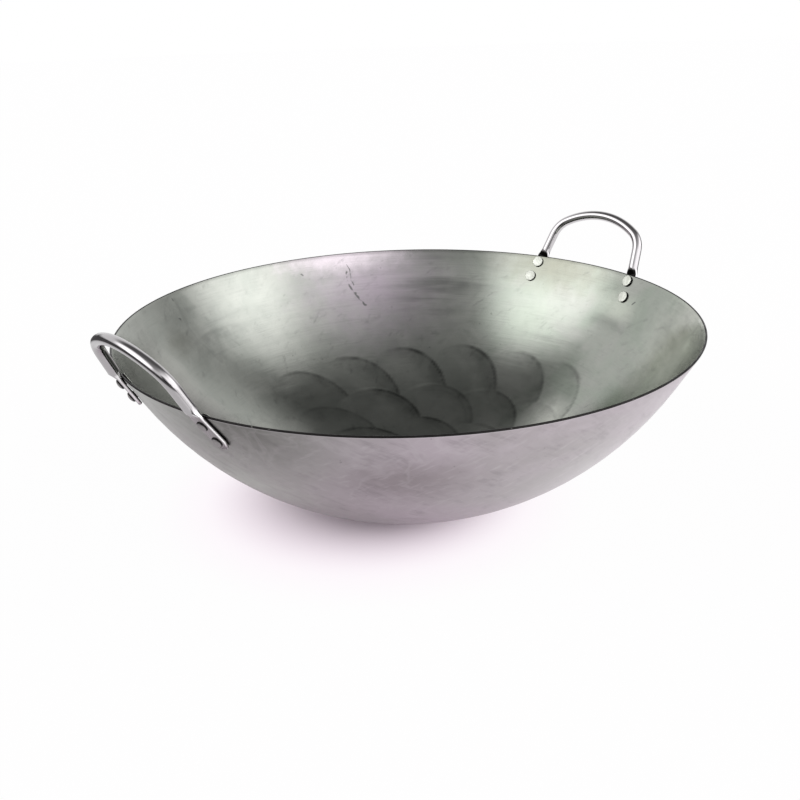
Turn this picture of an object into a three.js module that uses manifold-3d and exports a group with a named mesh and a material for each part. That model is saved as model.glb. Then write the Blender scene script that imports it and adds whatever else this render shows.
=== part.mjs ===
// A round steel wok with two riveted loop handles. Millimetres, +Z up.
// The origin is the middle of the flat spot under the bowl, and the handles lie along +X and -X.

import * as THREE from 'three';
import { mergeVertices } from 'three/addons/utils/BufferGeometryUtils.js';
import Module from 'manifold-3d';

const degrees = THREE.MathUtils.degToRad;

// Bowl: one pressed sheet. From below, its profile is a flat spot, a belly arc that turns up by the belly's
// sweep, a side arc that turns on to the wall's slope, and a straight band of wall up to the rim.
const RIM_RADIUS = 205;
const BOWL_HEIGHT = 129;
const FLAT_SPOT_RADIUS = 20;
const BELLY_SWEEP = degrees(26.7);
const WALL_SLOPE = degrees(59.8);
const WALL_BAND = 26;
const SHEET_THICKNESS = 1.5;

// Handles: a bent tube whose two ends are pressed flat into strips that lie on the outside of the wall.
const TUBE_DIAMETER = 7.5;
const TUBE_WALL = 1.2;
const STRIP_SLIT = 0.2;
const FOOT_SPREAD = 92;
const LEG_LEAN = degrees(8.9);
const LOOP_TILT = degrees(62.8);
const LOOP_HEIGHT = 43.2;
const CORNER_RADIUS = 19;
const CROWN_RADIUS = 66;
const SHOULDER_START = 0.8;
const SHOULDER_LENGTH = 5;

// Rivets: two through each strip, with a flat head inside the bowl and a set head outside.
const UPPER_RIVET_DROP = 5.5;
const RIVET_SPACING = 13;
const STRIP_END_MARGIN = 6.5;
const SHANK_DIAMETER = 5;
const HEAD_DIAMETER = 9;
const HEAD_HEIGHT = 1.8;
const HEAD_BEVEL = 0.5;
const SET_HEAD_DIAMETER = 7.4;
const SET_HEAD_HEIGHT = 2;

// Clearance between pieces that touch on the real object.
const SEAT_GAP = 0.3;

// Facets.
const BOWL_SIDES = 64;
const BELLY_STEPS = 5;
const SIDE_STEPS = 7;
const RIM_STEPS = 4;
const TUBE_SIDES = 12;
const SHOULDER_STEPS = 4;
const CORNER_STEPS = 6;
const HALF_CROWN_STEPS = 5;
const RIVET_SIDES = 14;
const SET_HEAD_STEPS = 4;

// Radii of the two arcs, such that the belly leaves the flat spot level and the side meets the band.
const arcsReach = RIM_RADIUS - FLAT_SPOT_RADIUS - WALL_BAND * Math.cos(WALL_SLOPE);
const arcsRise = BOWL_HEIGHT - WALL_BAND * Math.sin(WALL_SLOPE);
const bellyReach = Math.sin(BELLY_SWEEP);
const bellyRise = 1 - Math.cos(BELLY_SWEEP);
const sideReach = Math.sin(WALL_SLOPE) - bellyReach;
const sideRise = 1 - Math.cos(WALL_SLOPE) - bellyRise;
const spread = bellyReach * sideRise - sideReach * bellyRise;
const bellyRadius = (arcsReach * sideRise - sideReach * arcsRise) / spread;
const sideRadius = (bellyReach * arcsRise - arcsReach * bellyRise) / spread;

// Sizes of the strips and holes.
const stripThickness = 2 * TUBE_WALL + STRIP_SLIT;
const stripLength = UPPER_RIVET_DROP + RIVET_SPACING + STRIP_END_MARGIN;
const stripOffset = SEAT_GAP + stripThickness / 2;
const holeRadius = SHANK_DIAMETER / 2 + SEAT_GAP;

const bowlSteel = new THREE.MeshStandardMaterial({ color: 0x9b9a98, roughness: 0.42, metalness: 1 });
const handleSteel = new THREE.MeshStandardMaterial({ color: 0xc9c9c8, roughness: 0.15, metalness: 1 });
const rivetSteel = new THREE.MeshStandardMaterial({ color: 0xd6d4cf, roughness: 0.35, metalness: 1 });

const wasm = await Module();
wasm.setup();

// A closed solid for cutting, from a geometry placed by a matrix.
function solidOf(geometry, matrix = new THREE.Matrix4()) {
  const bare = geometry.clone().applyMatrix4(matrix);
  bare.deleteAttribute('normal');
  bare.deleteAttribute('uv');
  const merged = mergeVertices(bare, 1e-4);
  const corners = Array.from(merged.index.array);
  const triVerts = [];
  for (let i = 0; i < corners.length; i += 3) {
    const [a, b, c] = corners.slice(i, i + 3);
    if (a !== b && b !== c && c !== a) triVerts.push(a, b, c);
  }
  const vertProperties = new Float32Array(merged.attributes.position.array);
  const mesh = new wasm.Mesh({ numProp: 3, vertProperties, triVerts: new Uint32Array(triVerts) });
  return new wasm.Manifold(mesh);
}

function geometryOf(solid) {
  const mesh = solid.getMesh();
  const geometry = new THREE.BufferGeometry();
  geometry.setAttribute('position', new THREE.BufferAttribute(new Float32Array(mesh.vertProperties), 3));
  geometry.setIndex(Array.from(mesh.triVerts));
  geometry.computeVertexNormals();
  return geometry;
}

// Turns a geometry's faces outwards where its winding encloses a negative volume.
function facingOut(geometry) {
  const at = geometry.attributes.position;
  const index = geometry.index.array;
  const [a, b, c] = [new THREE.Vector3(), new THREE.Vector3(), new THREE.Vector3()];
  let volume = 0;
  for (let i = 0; i < index.length; i += 3) {
    a.fromBufferAttribute(at, index[i]);
    b.fromBufferAttribute(at, index[i + 1]);
    c.fromBufferAttribute(at, index[i + 2]);
    volume += a.dot(b.cross(c));
  }
  if (volume < 0) {
    for (let i = 0; i < index.length; i += 3) [index[i], index[i + 1]] = [index[i + 1], index[i]];
  }
  geometry.computeVertexNormals();
  return geometry;
}

// Bowl. Points of the sheet's two arcs, from its outer surface inwards by an inset.
function sheetArcs(inset) {
  const bellyMiddle = new THREE.Vector2(FLAT_SPOT_RADIUS, bellyRadius);
  const joint = new THREE.Vector2(Math.sin(BELLY_SWEEP), -Math.cos(BELLY_SWEEP));
  const sideMiddle = bellyMiddle.clone().addScaledVector(joint, bellyRadius - sideRadius);
  const points = [];
  const addArc = (middle, radius, from, to, first, steps) => {
    for (let i = first; i <= steps; i += 1) {
      const angle = THREE.MathUtils.lerp(from, to, i / steps);
      const out = new THREE.Vector2(Math.sin(angle), -Math.cos(angle));
      points.push(middle.clone().addScaledVector(out, radius - inset));
    }
  };
  addArc(bellyMiddle, bellyRadius, 0, BELLY_SWEEP, 0, BELLY_STEPS);
  addArc(sideMiddle, sideRadius, BELLY_SWEEP, WALL_SLOPE, 1, SIDE_STEPS);
  return points;
}

// The rim is a half round across the sheet. It starts half a sheet short of the band's upper end.
function rimArc() {
  const radius = SHEET_THICKNESS / 2;
  const across = new THREE.Vector2(-Math.sin(WALL_SLOPE), Math.cos(WALL_SLOPE));
  const along = new THREE.Vector2(Math.cos(WALL_SLOPE), Math.sin(WALL_SLOPE));
  const bandEnd = new THREE.Vector2(RIM_RADIUS, BOWL_HEIGHT);
  const middle = bandEnd.addScaledVector(across, radius).addScaledVector(along, -radius);
  const points = [];
  for (let i = 0; i <= RIM_STEPS; i += 1) {
    const turn = (Math.PI * i) / RIM_STEPS;
    points.push(middle.clone()
      .addScaledVector(across, -radius * Math.cos(turn))
      .addScaledVector(along, radius * Math.sin(turn)));
  }
  return points;
}

function bowlGeometry() {
  const profile = [new THREE.Vector2(0, 0)];
  profile.push(...sheetArcs(0), ...rimArc(), ...sheetArcs(SHEET_THICKNESS).reverse());
  profile.push(new THREE.Vector2(0, SHEET_THICKNESS));
  const lathe = new THREE.LatheGeometry(profile, BOWL_SIDES);
  return facingOut(lathe.rotateX(Math.PI / 2));
}

// A point outside the wall at a drop below the rim, sideways of the handle's middle and off the wall.
function wallPoint(drop, sideways, off) {
  const radius = RIM_RADIUS - drop * Math.cos(WALL_SLOPE) + off * Math.sin(WALL_SLOPE);
  const height = BOWL_HEIGHT - drop * Math.sin(WALL_SLOPE) - off * Math.cos(WALL_SLOPE);
  return new THREE.Vector3(Math.sqrt(radius * radius - sideways * sideways), sideways, height);
}

function wallNormal(point) {
  const around = Math.atan2(point.y, point.x);
  const level = Math.sin(WALL_SLOPE);
  return new THREE.Vector3(level * Math.cos(around), level * Math.sin(around), -Math.cos(WALL_SLOPE));
}

function legSideways(drop) {
  return FOOT_SPREAD / 2 + drop * Math.tan(LEG_LEAN);
}

// Handle. The loop's centre line lies in a tilted plane: x is sideways and y runs up the plane from the rim.
function loopOutline() {
  const foot = new THREE.Vector2(legSideways(0), 0);
  const legWay = new THREE.Vector2(-Math.sin(LEG_LEAN), Math.cos(LEG_LEAN));
  const inward = new THREE.Vector2(-legWay.y, legWay.x);
  const crownMiddle = new THREE.Vector2(0, LOOP_HEIGHT - CROWN_RADIUS);
  const start = foot.clone().addScaledVector(inward, CORNER_RADIUS).sub(crownMiddle);
  const reach = CROWN_RADIUS - CORNER_RADIUS;
  const along = start.dot(legWay);
  const legLength = -along + Math.sqrt(along * along - start.lengthSq() + reach * reach);
  const cornerMiddle = start.addScaledVector(legWay, legLength).add(crownMiddle);
  const fromAngle = Math.atan2(-inward.y, -inward.x);
  const toAngle = Math.atan2(cornerMiddle.y - crownMiddle.y, cornerMiddle.x);
  return { foot, legWay, cornerMiddle, crownMiddle, fromAngle, toAngle };
}

// Stations along the handle from the end of one strip to the crown. Flatness runs from 1, strip, to 0, tube.
function halfHandle() {
  const outline = loopOutline();
  const foot = wallPoint(0, legSideways(0), stripOffset);
  const loopNormal = new THREE.Vector3(Math.sin(LOOP_TILT), 0, -Math.cos(LOOP_TILT));
  const inLoop = (flat) => new THREE.Vector3(
    foot.x + flat.y * Math.cos(LOOP_TILT), flat.x, foot.z + flat.y * Math.sin(LOOP_TILT));
  const stations = [];
  for (const drop of [stripLength, stripLength / 2, 0]) {
    const point = wallPoint(drop, legSideways(drop), stripOffset);
    stations.push({ point, normal: wallNormal(point), flatness: 1 });
  }
  const legAt = (distance) => outline.foot.clone().addScaledVector(outline.legWay, distance);
  for (let i = 0; i <= SHOULDER_STEPS; i += 1) {
    const share = i / SHOULDER_STEPS;
    const normal = wallNormal(foot).lerp(loopNormal, share).normalize();
    const point = inLoop(legAt(SHOULDER_START + share * SHOULDER_LENGTH));
    stations.push({ point, normal, flatness: 1 - share });
  }
  const addArc = (middle, radius, from, to, first, steps) => {
    for (let i = first; i <= steps; i += 1) {
      const angle = THREE.MathUtils.lerp(from, to, i / steps);
      const flat = new THREE.Vector2(Math.cos(angle), Math.sin(angle)).multiplyScalar(radius).add(middle);
      stations.push({ point: inLoop(flat), normal: loopNormal.clone(), flatness: 0 });
    }
  };
  addArc(outline.cornerMiddle, CORNER_RADIUS, outline.fromAngle, outline.toAngle, 0, CORNER_STEPS);
  addArc(outline.crownMiddle, CROWN_RADIUS, outline.toAngle, Math.PI / 2, 1, HALF_CROWN_STEPS);
  return stations;
}

function wholeHandle() {
  const half = halfHandle();
  const mirrored = half.slice(0, -1).reverse().map(({ point, normal, flatness }) => ({
    point: new THREE.Vector3(point.x, -point.y, point.z),
    normal: new THREE.Vector3(normal.x, -normal.y, normal.z),
    flatness,
  }));
  return [...half, ...mirrored];
}

// One ring of the tube's skin. Pressing keeps the skin's length, so the strip grows wider as it flattens.
function tubeRing(station, tangent, inset) {
  const thickness = THREE.MathUtils.lerp(TUBE_DIAMETER, stripThickness, station.flatness);
  const flatHalf = (Math.PI * (TUBE_DIAMETER - thickness)) / 4;
  const radius = thickness / 2 - inset;
  const across = new THREE.Vector3().crossVectors(tangent, station.normal).normalize();
  const out = new THREE.Vector3().crossVectors(across, tangent).normalize();
  const ring = [];
  for (let i = 0; i < TUBE_SIDES; i += 1) {
    const angle = ((i + 0.5) * 2 * Math.PI) / TUBE_SIDES - Math.PI / 2;
    const sideways = Math.sign(Math.cos(angle)) * flatHalf + radius * Math.cos(angle);
    const outwards = radius * Math.sin(angle);
    ring.push(station.point.clone().addScaledVector(across, sideways).addScaledVector(out, outwards));
  }
  return ring;
}

// A pipe from rings of its outer and inner skins, open at both ends.
function pipeGeometry(outerRings, innerRings) {
  const points = [...outerRings, ...innerRings].flat();
  const sides = outerRings[0].length;
  const count = outerRings.length;
  const index = [];
  const quad = (a, b, c, d) => index.push(a, b, c, a, c, d);
  const outer = (ring, side) => ring * sides + (side % sides);
  const inner = (ring, side) => (count + ring) * sides + (side % sides);
  for (let side = 0; side < sides; side += 1) {
    for (let ring = 0; ring + 1 < count; ring += 1) {
      quad(outer(ring, side), outer(ring, side + 1), outer(ring + 1, side + 1), outer(ring + 1, side));
      quad(inner(ring, side), inner(ring + 1, side), inner(ring + 1, side + 1), inner(ring, side + 1));
    }
    const last = count - 1;
    quad(outer(0, side), inner(0, side), inner(0, side + 1), outer(0, side + 1));
    quad(outer(last, side), outer(last, side + 1), inner(last, side + 1), inner(last, side));
  }
  const geometry = new THREE.BufferGeometry().setFromPoints(points);
  geometry.setIndex(index);
  return facingOut(geometry);
}

function handleGeometry() {
  const stations = wholeHandle();
  const tangents = stations.map((_, i) => {
    const before = stations[Math.max(i - 1, 0)].point;
    const after = stations[Math.min(i + 1, stations.length - 1)].point;
    return after.clone().sub(before).normalize();
  });
  const rings = (inset) => stations.map((station, i) => tubeRing(station, tangents[i], inset));
  return pipeGeometry(rings(0), rings(TUBE_WALL));
}

// Rivets. Each has its origin on the outside of the wall, with its axis along the wall's normal.
function rivetPlaces() {
  const places = [];
  for (const [side, sign] of [['front', -1], ['back', 1]]) {
    for (const [level, drop] of [['upper', UPPER_RIVET_DROP], ['lower', UPPER_RIVET_DROP + RIVET_SPACING]]) {
      const point = wallPoint(drop, sign * legSideways(drop), 0);
      const turn = new THREE.Quaternion().setFromUnitVectors(new THREE.Vector3(0, 1, 0), wallNormal(point));
      places.push({ name: `${side}_${level}`, point, turn });
    }
  }
  return places;
}

function rivetGeometry() {
  const shank = SHANK_DIAMETER / 2;
  const head = HEAD_DIAMETER / 2;
  const setHead = SET_HEAD_DIAMETER / 2;
  const headSeat = -SHEET_THICKNESS - SEAT_GAP;
  const headTop = headSeat - HEAD_HEIGHT;
  const setSeat = SEAT_GAP + stripThickness + SEAT_GAP;
  const profile = [
    new THREE.Vector2(0, headTop),
    new THREE.Vector2(head - HEAD_BEVEL, headTop),
    new THREE.Vector2(head, headTop + HEAD_BEVEL),
    new THREE.Vector2(head, headSeat),
    new THREE.Vector2(shank, headSeat),
    new THREE.Vector2(shank, setSeat),
  ];
  for (let i = 0; i <= SET_HEAD_STEPS; i += 1) {
    const turn = (Math.PI / 2) * (i / SET_HEAD_STEPS);
    const radius = i === SET_HEAD_STEPS ? 0 : setHead * Math.cos(turn);
    profile.push(new THREE.Vector2(radius, setSeat + SET_HEAD_HEIGHT * Math.sin(turn)));
  }
  return facingOut(new THREE.LatheGeometry(profile, RIVET_SIDES));
}

// A drill for the rivet holes, longer than the sheet and the strip together.
function drillGeometry() {
  const length = 2 * (SHEET_THICKNESS + stripThickness + TUBE_DIAMETER);
  return new THREE.CylinderGeometry(holeRadius, holeRadius, length, RIVET_SIDES);
}

// Assembly.
const places = rivetPlaces();
const drill = drillGeometry();
const drillAt = (place, around) => {
  const matrix = new THREE.Matrix4().compose(place.point, place.turn, new THREE.Vector3(1, 1, 1));
  return solidOf(drill, new THREE.Matrix4().makeRotationZ(around).multiply(matrix));
};
const handleSides = [['right', 0], ['left', Math.PI]];

let bowlSolid = solidOf(bowlGeometry());
let handleSolid = solidOf(handleGeometry());
for (const place of places) {
  handleSolid = handleSolid.subtract(drillAt(place, 0));
  for (const [, around] of handleSides) bowlSolid = bowlSolid.subtract(drillAt(place, around));
}

const wok = new THREE.Group();
const bowl = new THREE.Mesh(geometryOf(bowlSolid), bowlSteel);
bowl.name = 'bowl';
wok.add(bowl);

const handleShape = geometryOf(handleSolid);
const rivetShape = rivetGeometry();
for (const [side, around] of handleSides) {
  const fitting = new THREE.Group();
  fitting.rotation.z = around;
  const handle = new THREE.Mesh(handleShape, handleSteel);
  handle.name = `handle_${side}`;
  fitting.add(handle);
  for (const place of places) {
    const rivet = new THREE.Mesh(rivetShape, rivetSteel);
    rivet.name = `rivet_${side}_${place.name}`;
    rivet.position.copy(place.point);
    rivet.quaternion.copy(place.turn);
    fitting.add(rivet);
  }
  wok.add(fitting);
}

export default wok;
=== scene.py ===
# %% [markdown]
# # A steel wok with two riveted loop handles
#
# The wok is one pressed sheet of steel, two bent tubes whose ends are pressed flat, and eight rivets. The
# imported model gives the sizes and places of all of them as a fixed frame. This lesson builds finer pieces
# over that frame, gives them their steel, and sets up a small white studio to look at them in.

# %% Load the frame
import math

import bpy
import numpy as np
from mathutils import Matrix, Quaternion, Vector


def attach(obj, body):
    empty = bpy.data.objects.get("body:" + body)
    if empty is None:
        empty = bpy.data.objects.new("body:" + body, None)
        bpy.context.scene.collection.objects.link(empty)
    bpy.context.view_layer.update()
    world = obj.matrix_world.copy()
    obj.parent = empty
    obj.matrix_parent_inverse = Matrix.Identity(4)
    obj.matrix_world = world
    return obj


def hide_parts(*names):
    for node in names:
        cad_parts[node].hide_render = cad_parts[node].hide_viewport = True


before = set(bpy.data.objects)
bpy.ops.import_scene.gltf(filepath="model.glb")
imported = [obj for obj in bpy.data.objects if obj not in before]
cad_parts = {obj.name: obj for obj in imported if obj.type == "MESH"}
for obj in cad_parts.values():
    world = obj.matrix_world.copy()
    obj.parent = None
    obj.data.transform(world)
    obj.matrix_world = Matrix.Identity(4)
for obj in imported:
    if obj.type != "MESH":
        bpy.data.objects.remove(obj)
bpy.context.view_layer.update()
scene = bpy.context.scene
scene.view_settings.view_transform = "Standard"
MM = 0.001
print("nodes in the frame:", sorted(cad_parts))

# %% [markdown]
# ## Camera
#
# The picture is taken from a little above the rim, with the far handle to the right and the near one to the
# left. A camera can be placed by eye, but a place and a target found from the ellipse of the rim hold every
# piece at once. The slight roll is the picture's own: its rim climbs to the right.

# %% The camera
CAMERA_PLACE = Vector((-464.45, -515.30, 347.95)) * MM
CAMERA_TARGET = Vector((-11.42, -2.68, 71.14)) * MM
CAMERA_ROLL = math.radians(-1.771)
CAMERA_LENS = 46.015
SENSOR_WIDTH = 36.0

camera_data = bpy.data.cameras.new("camera")
camera_data.lens = CAMERA_LENS
camera_data.sensor_width = SENSOR_WIDTH
camera = bpy.data.objects.new("camera", camera_data)
camera.location = CAMERA_PLACE
aim = (CAMERA_TARGET - CAMERA_PLACE).to_track_quat("-Z", "Y")
camera.rotation_mode = "QUATERNION"
camera.rotation_quaternion = aim @ Quaternion((0, 0, 1), CAMERA_ROLL)
scene.collection.objects.link(camera)
scene.camera = camera
print("camera", round((CAMERA_TARGET - CAMERA_PLACE).length, 3), "m from its target")

# %% [markdown]
# ## Wiring nodes
#
# Every material, the studio and two of the pieces are node trees. They could be drawn by hand in the node
# editor, but then nobody can read why a value is what it is. A few small helpers keep them readable as code:
# the first adds a node and fills its inputs with values or links, and the others write one step of
# arithmetic on numbers, directions or colours.

# %% Nodes and numbers
SINGLE_VALUES = ("DOT_PRODUCT", "DISTANCE", "LENGTH")


def find_socket(sockets, key):
    if isinstance(key, int):
        return sockets[key]
    return next(s for s in sockets if s.name == key and s.enabled)


def put(tree, kind, inputs=None, **settings):
    """Adds a node and fills its inputs with plain values or with links from other nodes."""
    node = tree.nodes.new(kind)
    for name, value in settings.items():
        setattr(node, name, value)
    for key, value in (inputs or {}).items():
        socket = find_socket(node.inputs, key)
        if isinstance(value, bpy.types.NodeSocket):
            tree.links.new(value, socket)
        else:
            socket.default_value = value
    return node


def calc(tree, operation, *values, clamp=False):
    node = put(tree, "ShaderNodeMath", dict(enumerate(values)), operation=operation, use_clamp=clamp)
    return node.outputs[0]


def times(tree, first, second):
    return calc(tree, "MULTIPLY", first, second)


def most(tree, first, second):
    return calc(tree, "MAXIMUM", first, second)


def apart(tree, value, middle):
    """How far a value is from a middle, on whichever side it lies."""
    return calc(tree, "ABSOLUTE", calc(tree, "SUBTRACT", value, middle))


def ease(tree, value, start, end, low=0.0, high=1.0):
    """A smooth step from low to high as the value goes from start to end."""
    sockets = {"Value": value, "From Min": start, "From Max": end, "To Min": low, "To Max": high}
    return put(tree, "ShaderNodeMapRange", sockets, interpolation_type="SMOOTHSTEP").outputs[0]


def mix_values(tree, share, low, high):
    return put(tree, "ShaderNodeMix", {0: share, 2: low, 3: high}, data_type="FLOAT").outputs[0]


print("steps that give one value:", SINGLE_VALUES)


# %% Directions and colours
def vector(tree, operation, *values):
    node = put(tree, "ShaderNodeVectorMath", dict(enumerate(values)), operation=operation)
    return node.outputs["Value" if operation in SINGLE_VALUES else "Vector"]


def scaled(tree, way, size):
    return put(tree, "ShaderNodeVectorMath", {0: way, "Scale": size}, operation="SCALE").outputs[0]


def level_part(tree, place):
    """A place or direction without its height."""
    return vector(tree, "MULTIPLY", place, (1, 1, 0))


def height_of(tree, place):
    return put(tree, "ShaderNodeSeparateXYZ", {0: place}).outputs["Z"]


def turned(tree, place, angle):
    """A place or direction turned about the upright axis."""
    sockets = {"Vector": place, "Angle": angle}
    return put(tree, "ShaderNodeVectorRotate", sockets, rotation_type="Z_AXIS").outputs[0]


def object_place(tree):
    return put(tree, "ShaderNodeTexCoord").outputs["Object"]


def painted(tree, name):
    """A value that a mesh carries on its points."""
    return put(tree, "ShaderNodeAttribute", attribute_name=name).outputs["Fac"]


def mix_colours(tree, share, low, high):
    return put(tree, "ShaderNodeMix", {0: share, 6: low, 7: high}, data_type="RGBA").outputs[2]


def tone(red, green, blue):
    """A colour as it looks on a screen, from 0 to 255, turned into the linear one that shaders use."""
    def linear(share):
        return share / 12.92 if share <= 0.04045 else ((share + 0.055) / 1.055) ** 2.4
    return tuple(linear(level / 255) for level in (red, green, blue)) + (1.0,)


print("mid steel in linear light:", [round(level, 3) for level in tone(154, 154, 150)[:3]])

# %% [markdown]
# ## Studio
#
# Bare steel has hardly any look of its own: it shows the room. The room here is a white surround up to a
# little over head height, a dark ceiling, a white backdrop and a white right wall with a dark horizon between
# them, a large soft lamp on each side, and a shade on the camera's side. It could be built from lamps and
# cards, but these would stand in the way of other views, so the world paints it by direction. To the camera
# the world is plain white.

# %% Directions in the studio
WHITE = (1.0, 1.0, 1.0, 1.0)
# All angles of the studio are in degrees.
SURROUND_TOP = 41
SURROUND_BLUR = 11
CEILING_BACK = 0.14
CEILING_FRONT = 0.55
FRONT_SPAN = (-0.3, 0.95)
HORIZON_DARK = 0.08
HORIZON_SPAN = (3, 13)
# Each pale wall has its azimuth, and the angles from there at which it is still full and already gone.
PALE_WALLS = {
    "backdrop": (180, 26, 41),
    "right wall": (68, 32, 52),
}
# Each lamp has its azimuth and elevation, the angles of its core and of its edge, and its strength. The flag
# and the shade on the camera's side are dark cloths: they take light away.
LAMPS = {
    "left softbox": (-77, 33, 10, 33, 1.8),
    "right softbox": (91, 35, 3, 26, 0.96),
    "front fill": (53, 6, 0, 75, 1.12),
    "right flag": (114, 22, 8, 29, -0.42),
    "camera side": (0, 11, 8, 21, -1.2),
}
toward_camera = Vector((CAMERA_PLACE.x, CAMERA_PLACE.y, 0)).normalized()
to_the_right = Vector((-toward_camera.y, toward_camera.x, 0))


def sine(angle):
    return math.sin(math.radians(angle))


def cosine(angle):
    return math.cos(math.radians(angle))


def studio_direction(azimuth, elevation):
    """A direction in the studio: the azimuth runs from the camera to its right."""
    level = toward_camera * cosine(azimuth) + to_the_right * sine(azimuth)
    return level * cosine(elevation) + Vector((0, 0, sine(elevation)))


def pale_walls(tree, way):
    """How far a direction, or a place on the floor, lies in front of one of the white walls."""
    level = vector(tree, "NORMALIZE", level_part(tree, way))
    pale = 0.0
    for azimuth, full, gone in PALE_WALLS.values():
        facing = vector(tree, "DOT_PRODUCT", level, tuple(studio_direction(azimuth, 0)))
        pale = most(tree, pale, ease(tree, facing, cosine(gone), cosine(full)))
    return pale


print("the camera's right is", [round(share, 3) for share in to_the_right])

# %% The world
world = bpy.data.worlds.new("white studio")
scene.world = world
world.use_nodes = True
sky = world.node_tree
sky.nodes.clear()
way = put(sky, "ShaderNodeTexCoord").outputs["Generated"]
rise = height_of(sky, way)
surround = ease(sky, rise, sine(SURROUND_TOP + SURROUND_BLUR), sine(SURROUND_TOP - SURROUND_BLUR))
front = ease(sky, vector(sky, "DOT_PRODUCT", way, tuple(toward_camera)), *FRONT_SPAN)
ceiling = mix_values(sky, front, CEILING_BACK, CEILING_FRONT)
light = mix_values(sky, surround, ceiling, 1.0)
for azimuth, elevation, core, edge, strength in LAMPS.values():
    facing = vector(sky, "DOT_PRODUCT", way, tuple(studio_direction(azimuth, elevation)))
    light = calc(sky, "ADD", light, ease(sky, facing, cosine(edge), cosine(core), 0.0, strength))
light = most(sky, light, 0.0)
low = ease(sky, rise, *(sine(angle) for angle in HORIZON_SPAN), HORIZON_DARK, 1.0)
light = times(sky, light, most(sky, low, pale_walls(sky, way)))
camera_ray = put(sky, "ShaderNodeLightPath").outputs["Is Camera Ray"]
shown = mix_values(sky, camera_ray, light, 1.0)
background = put(sky, "ShaderNodeBackground", {"Color": WHITE, "Strength": shown})
put(sky, "ShaderNodeOutputWorld", {"Surface": background.outputs[0]})
print("studio with", len(LAMPS), "lamps and flags, and a surround up to", SURROUND_TOP, "degrees")

# %% [markdown]
# ## Floor
#
# The wok stands on white paper that runs out to nothing. A plain grey plane would show its own horizon. This
# paper is matt under the wok, so that it takes the wok's shadow, and away from it turns into a plain white
# glow for the camera and for the steel's reflections. Round the shadow the glow is pink: a painted reflection
# of the mauve steel on the paper. In the reflections it goes dark farther out, except in front of the pale
# walls.

# %% The floor
FLOOR_RADIUS = 6.0
FLOOR_SIDES = 96
FLOOR_DROP = 0.3 * MM
SHADOW_MIDDLE = (-30 * MM, 14 * MM, 0)
SHADOW_NEAR = 45 * MM
SHADOW_FAR = 125 * MM
PINK_BOUNCE_FAR = 170 * MM
MIRRORED_MIDDLE = (-62 * MM, 43 * MM, 0)
MIRRORED_FAR = 240 * MM
MIRRORED_SPAN = (-150 * MM, 200 * MM)
MIRRORED_GLOW = (0.88, 1.35)
GLOW_SHARE = 0.97
PAPER_END = (0.45, 0.7)
PAPER = tone(250, 238, 247)
PINK_BOUNCE = tone(255, 243, 252)


def floor_paper():
    material = bpy.data.materials.new("white_paper")
    material.use_nodes = True
    tree = material.node_tree
    tree.nodes.clear()
    place = object_place(tree)
    path = put(tree, "ShaderNodeLightPath").outputs
    away = vector(tree, "DISTANCE", place, SHADOW_MIDDLE)
    seen = times(tree, path["Is Camera Ray"], ease(tree, away, SHADOW_NEAR, SHADOW_FAR, 0.0, GLOW_SHARE))
    mirrored = calc(tree, "ADD", path["Is Glossy Ray"], path["Is Transmission Ray"], clamp=True)
    mirrored_away = vector(tree, "DISTANCE", place, MIRRORED_MIDDLE)
    clear = ease(tree, mirrored_away, SHADOW_NEAR, MIRRORED_FAR, 0.0, GLOW_SHARE)
    share = calc(tree, "ADD", seen, times(tree, mirrored, clear), clamp=True)
    matt = put(tree, "ShaderNodeBsdfDiffuse", {"Color": PAPER})
    # Painted reflection: near the wok's shadow the glow is pink, as if the mauve steel lit the paper.
    pink_bounce = mix_colours(tree, ease(tree, away, SHADOW_FAR / 2, PINK_BOUNCE_FAR), PINK_BOUNCE, WHITE)
    paper = ease(tree, vector(tree, "LENGTH", place), *PAPER_END, 1.0, HORIZON_DARK)
    paper = most(tree, paper, pale_walls(tree, place))
    along = vector(tree, "DOT_PRODUCT", place, tuple(to_the_right))
    mirrored_glow = times(tree, paper, ease(tree, along, *MIRRORED_SPAN, *MIRRORED_GLOW))
    strength = mix_values(tree, path["Is Camera Ray"], mirrored_glow, 1.0)
    glow = put(tree, "ShaderNodeEmission", {"Color": pink_bounce, "Strength": strength})
    mixed = put(tree, "ShaderNodeMixShader", {0: share, 1: matt.outputs[0], 2: glow.outputs[0]})
    put(tree, "ShaderNodeOutputMaterial", {"Surface": mixed.outputs[0]})
    return material


floor_mesh = bpy.data.meshes.new("floor")
turns = [math.tau * side / FLOOR_SIDES for side in range(FLOOR_SIDES)]
corners = [(FLOOR_RADIUS * math.cos(turn), FLOOR_RADIUS * math.sin(turn), -FLOOR_DROP) for turn in turns]
floor_mesh.from_pydata(corners, [], [range(FLOOR_SIDES)])
floor = bpy.data.objects.new("floor", floor_mesh)
floor.data.materials.append(floor_paper())
scene.collection.objects.link(floor)
print("floor", FLOOR_RADIUS, "m across its radius")

# %% [markdown]
# ## Shared finishes
#
# The sheet is spun and rubbed with abrasive, so fine lines run round it. Handling, oil and the mill leave
# clouds of colour and small specks, and here and there a stain or a scratch. All of these could be painted on
# a picture, but a picture has one resolution and one wok. Each is a node group instead: it puts out a mask
# that varies over the surface, and each material decides what the mask does.

# %% Lines, clouds and specks
CLOUD_SPAN = (0.3, 0.7)
SPECK_SPAN = (0.71, 0.78)


def new_group(name, inputs, outputs):
    """A shader node group: an input with three numbers is a place or a direction, any other a value."""
    tree = bpy.data.node_groups.new(name, "ShaderNodeTree")
    for label, value in inputs.items():
        kind = "NodeSocketVector" if isinstance(value, tuple) else "NodeSocketFloat"
        socket = tree.interface.new_socket(label, in_out="INPUT", socket_type=kind)
        socket.default_value = value
    for label in outputs:
        tree.interface.new_socket(label, in_out="OUTPUT", socket_type="NodeSocketFloat")
    return tree, tree.nodes.new("NodeGroupInput").outputs, tree.nodes.new("NodeGroupOutput")


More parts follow.
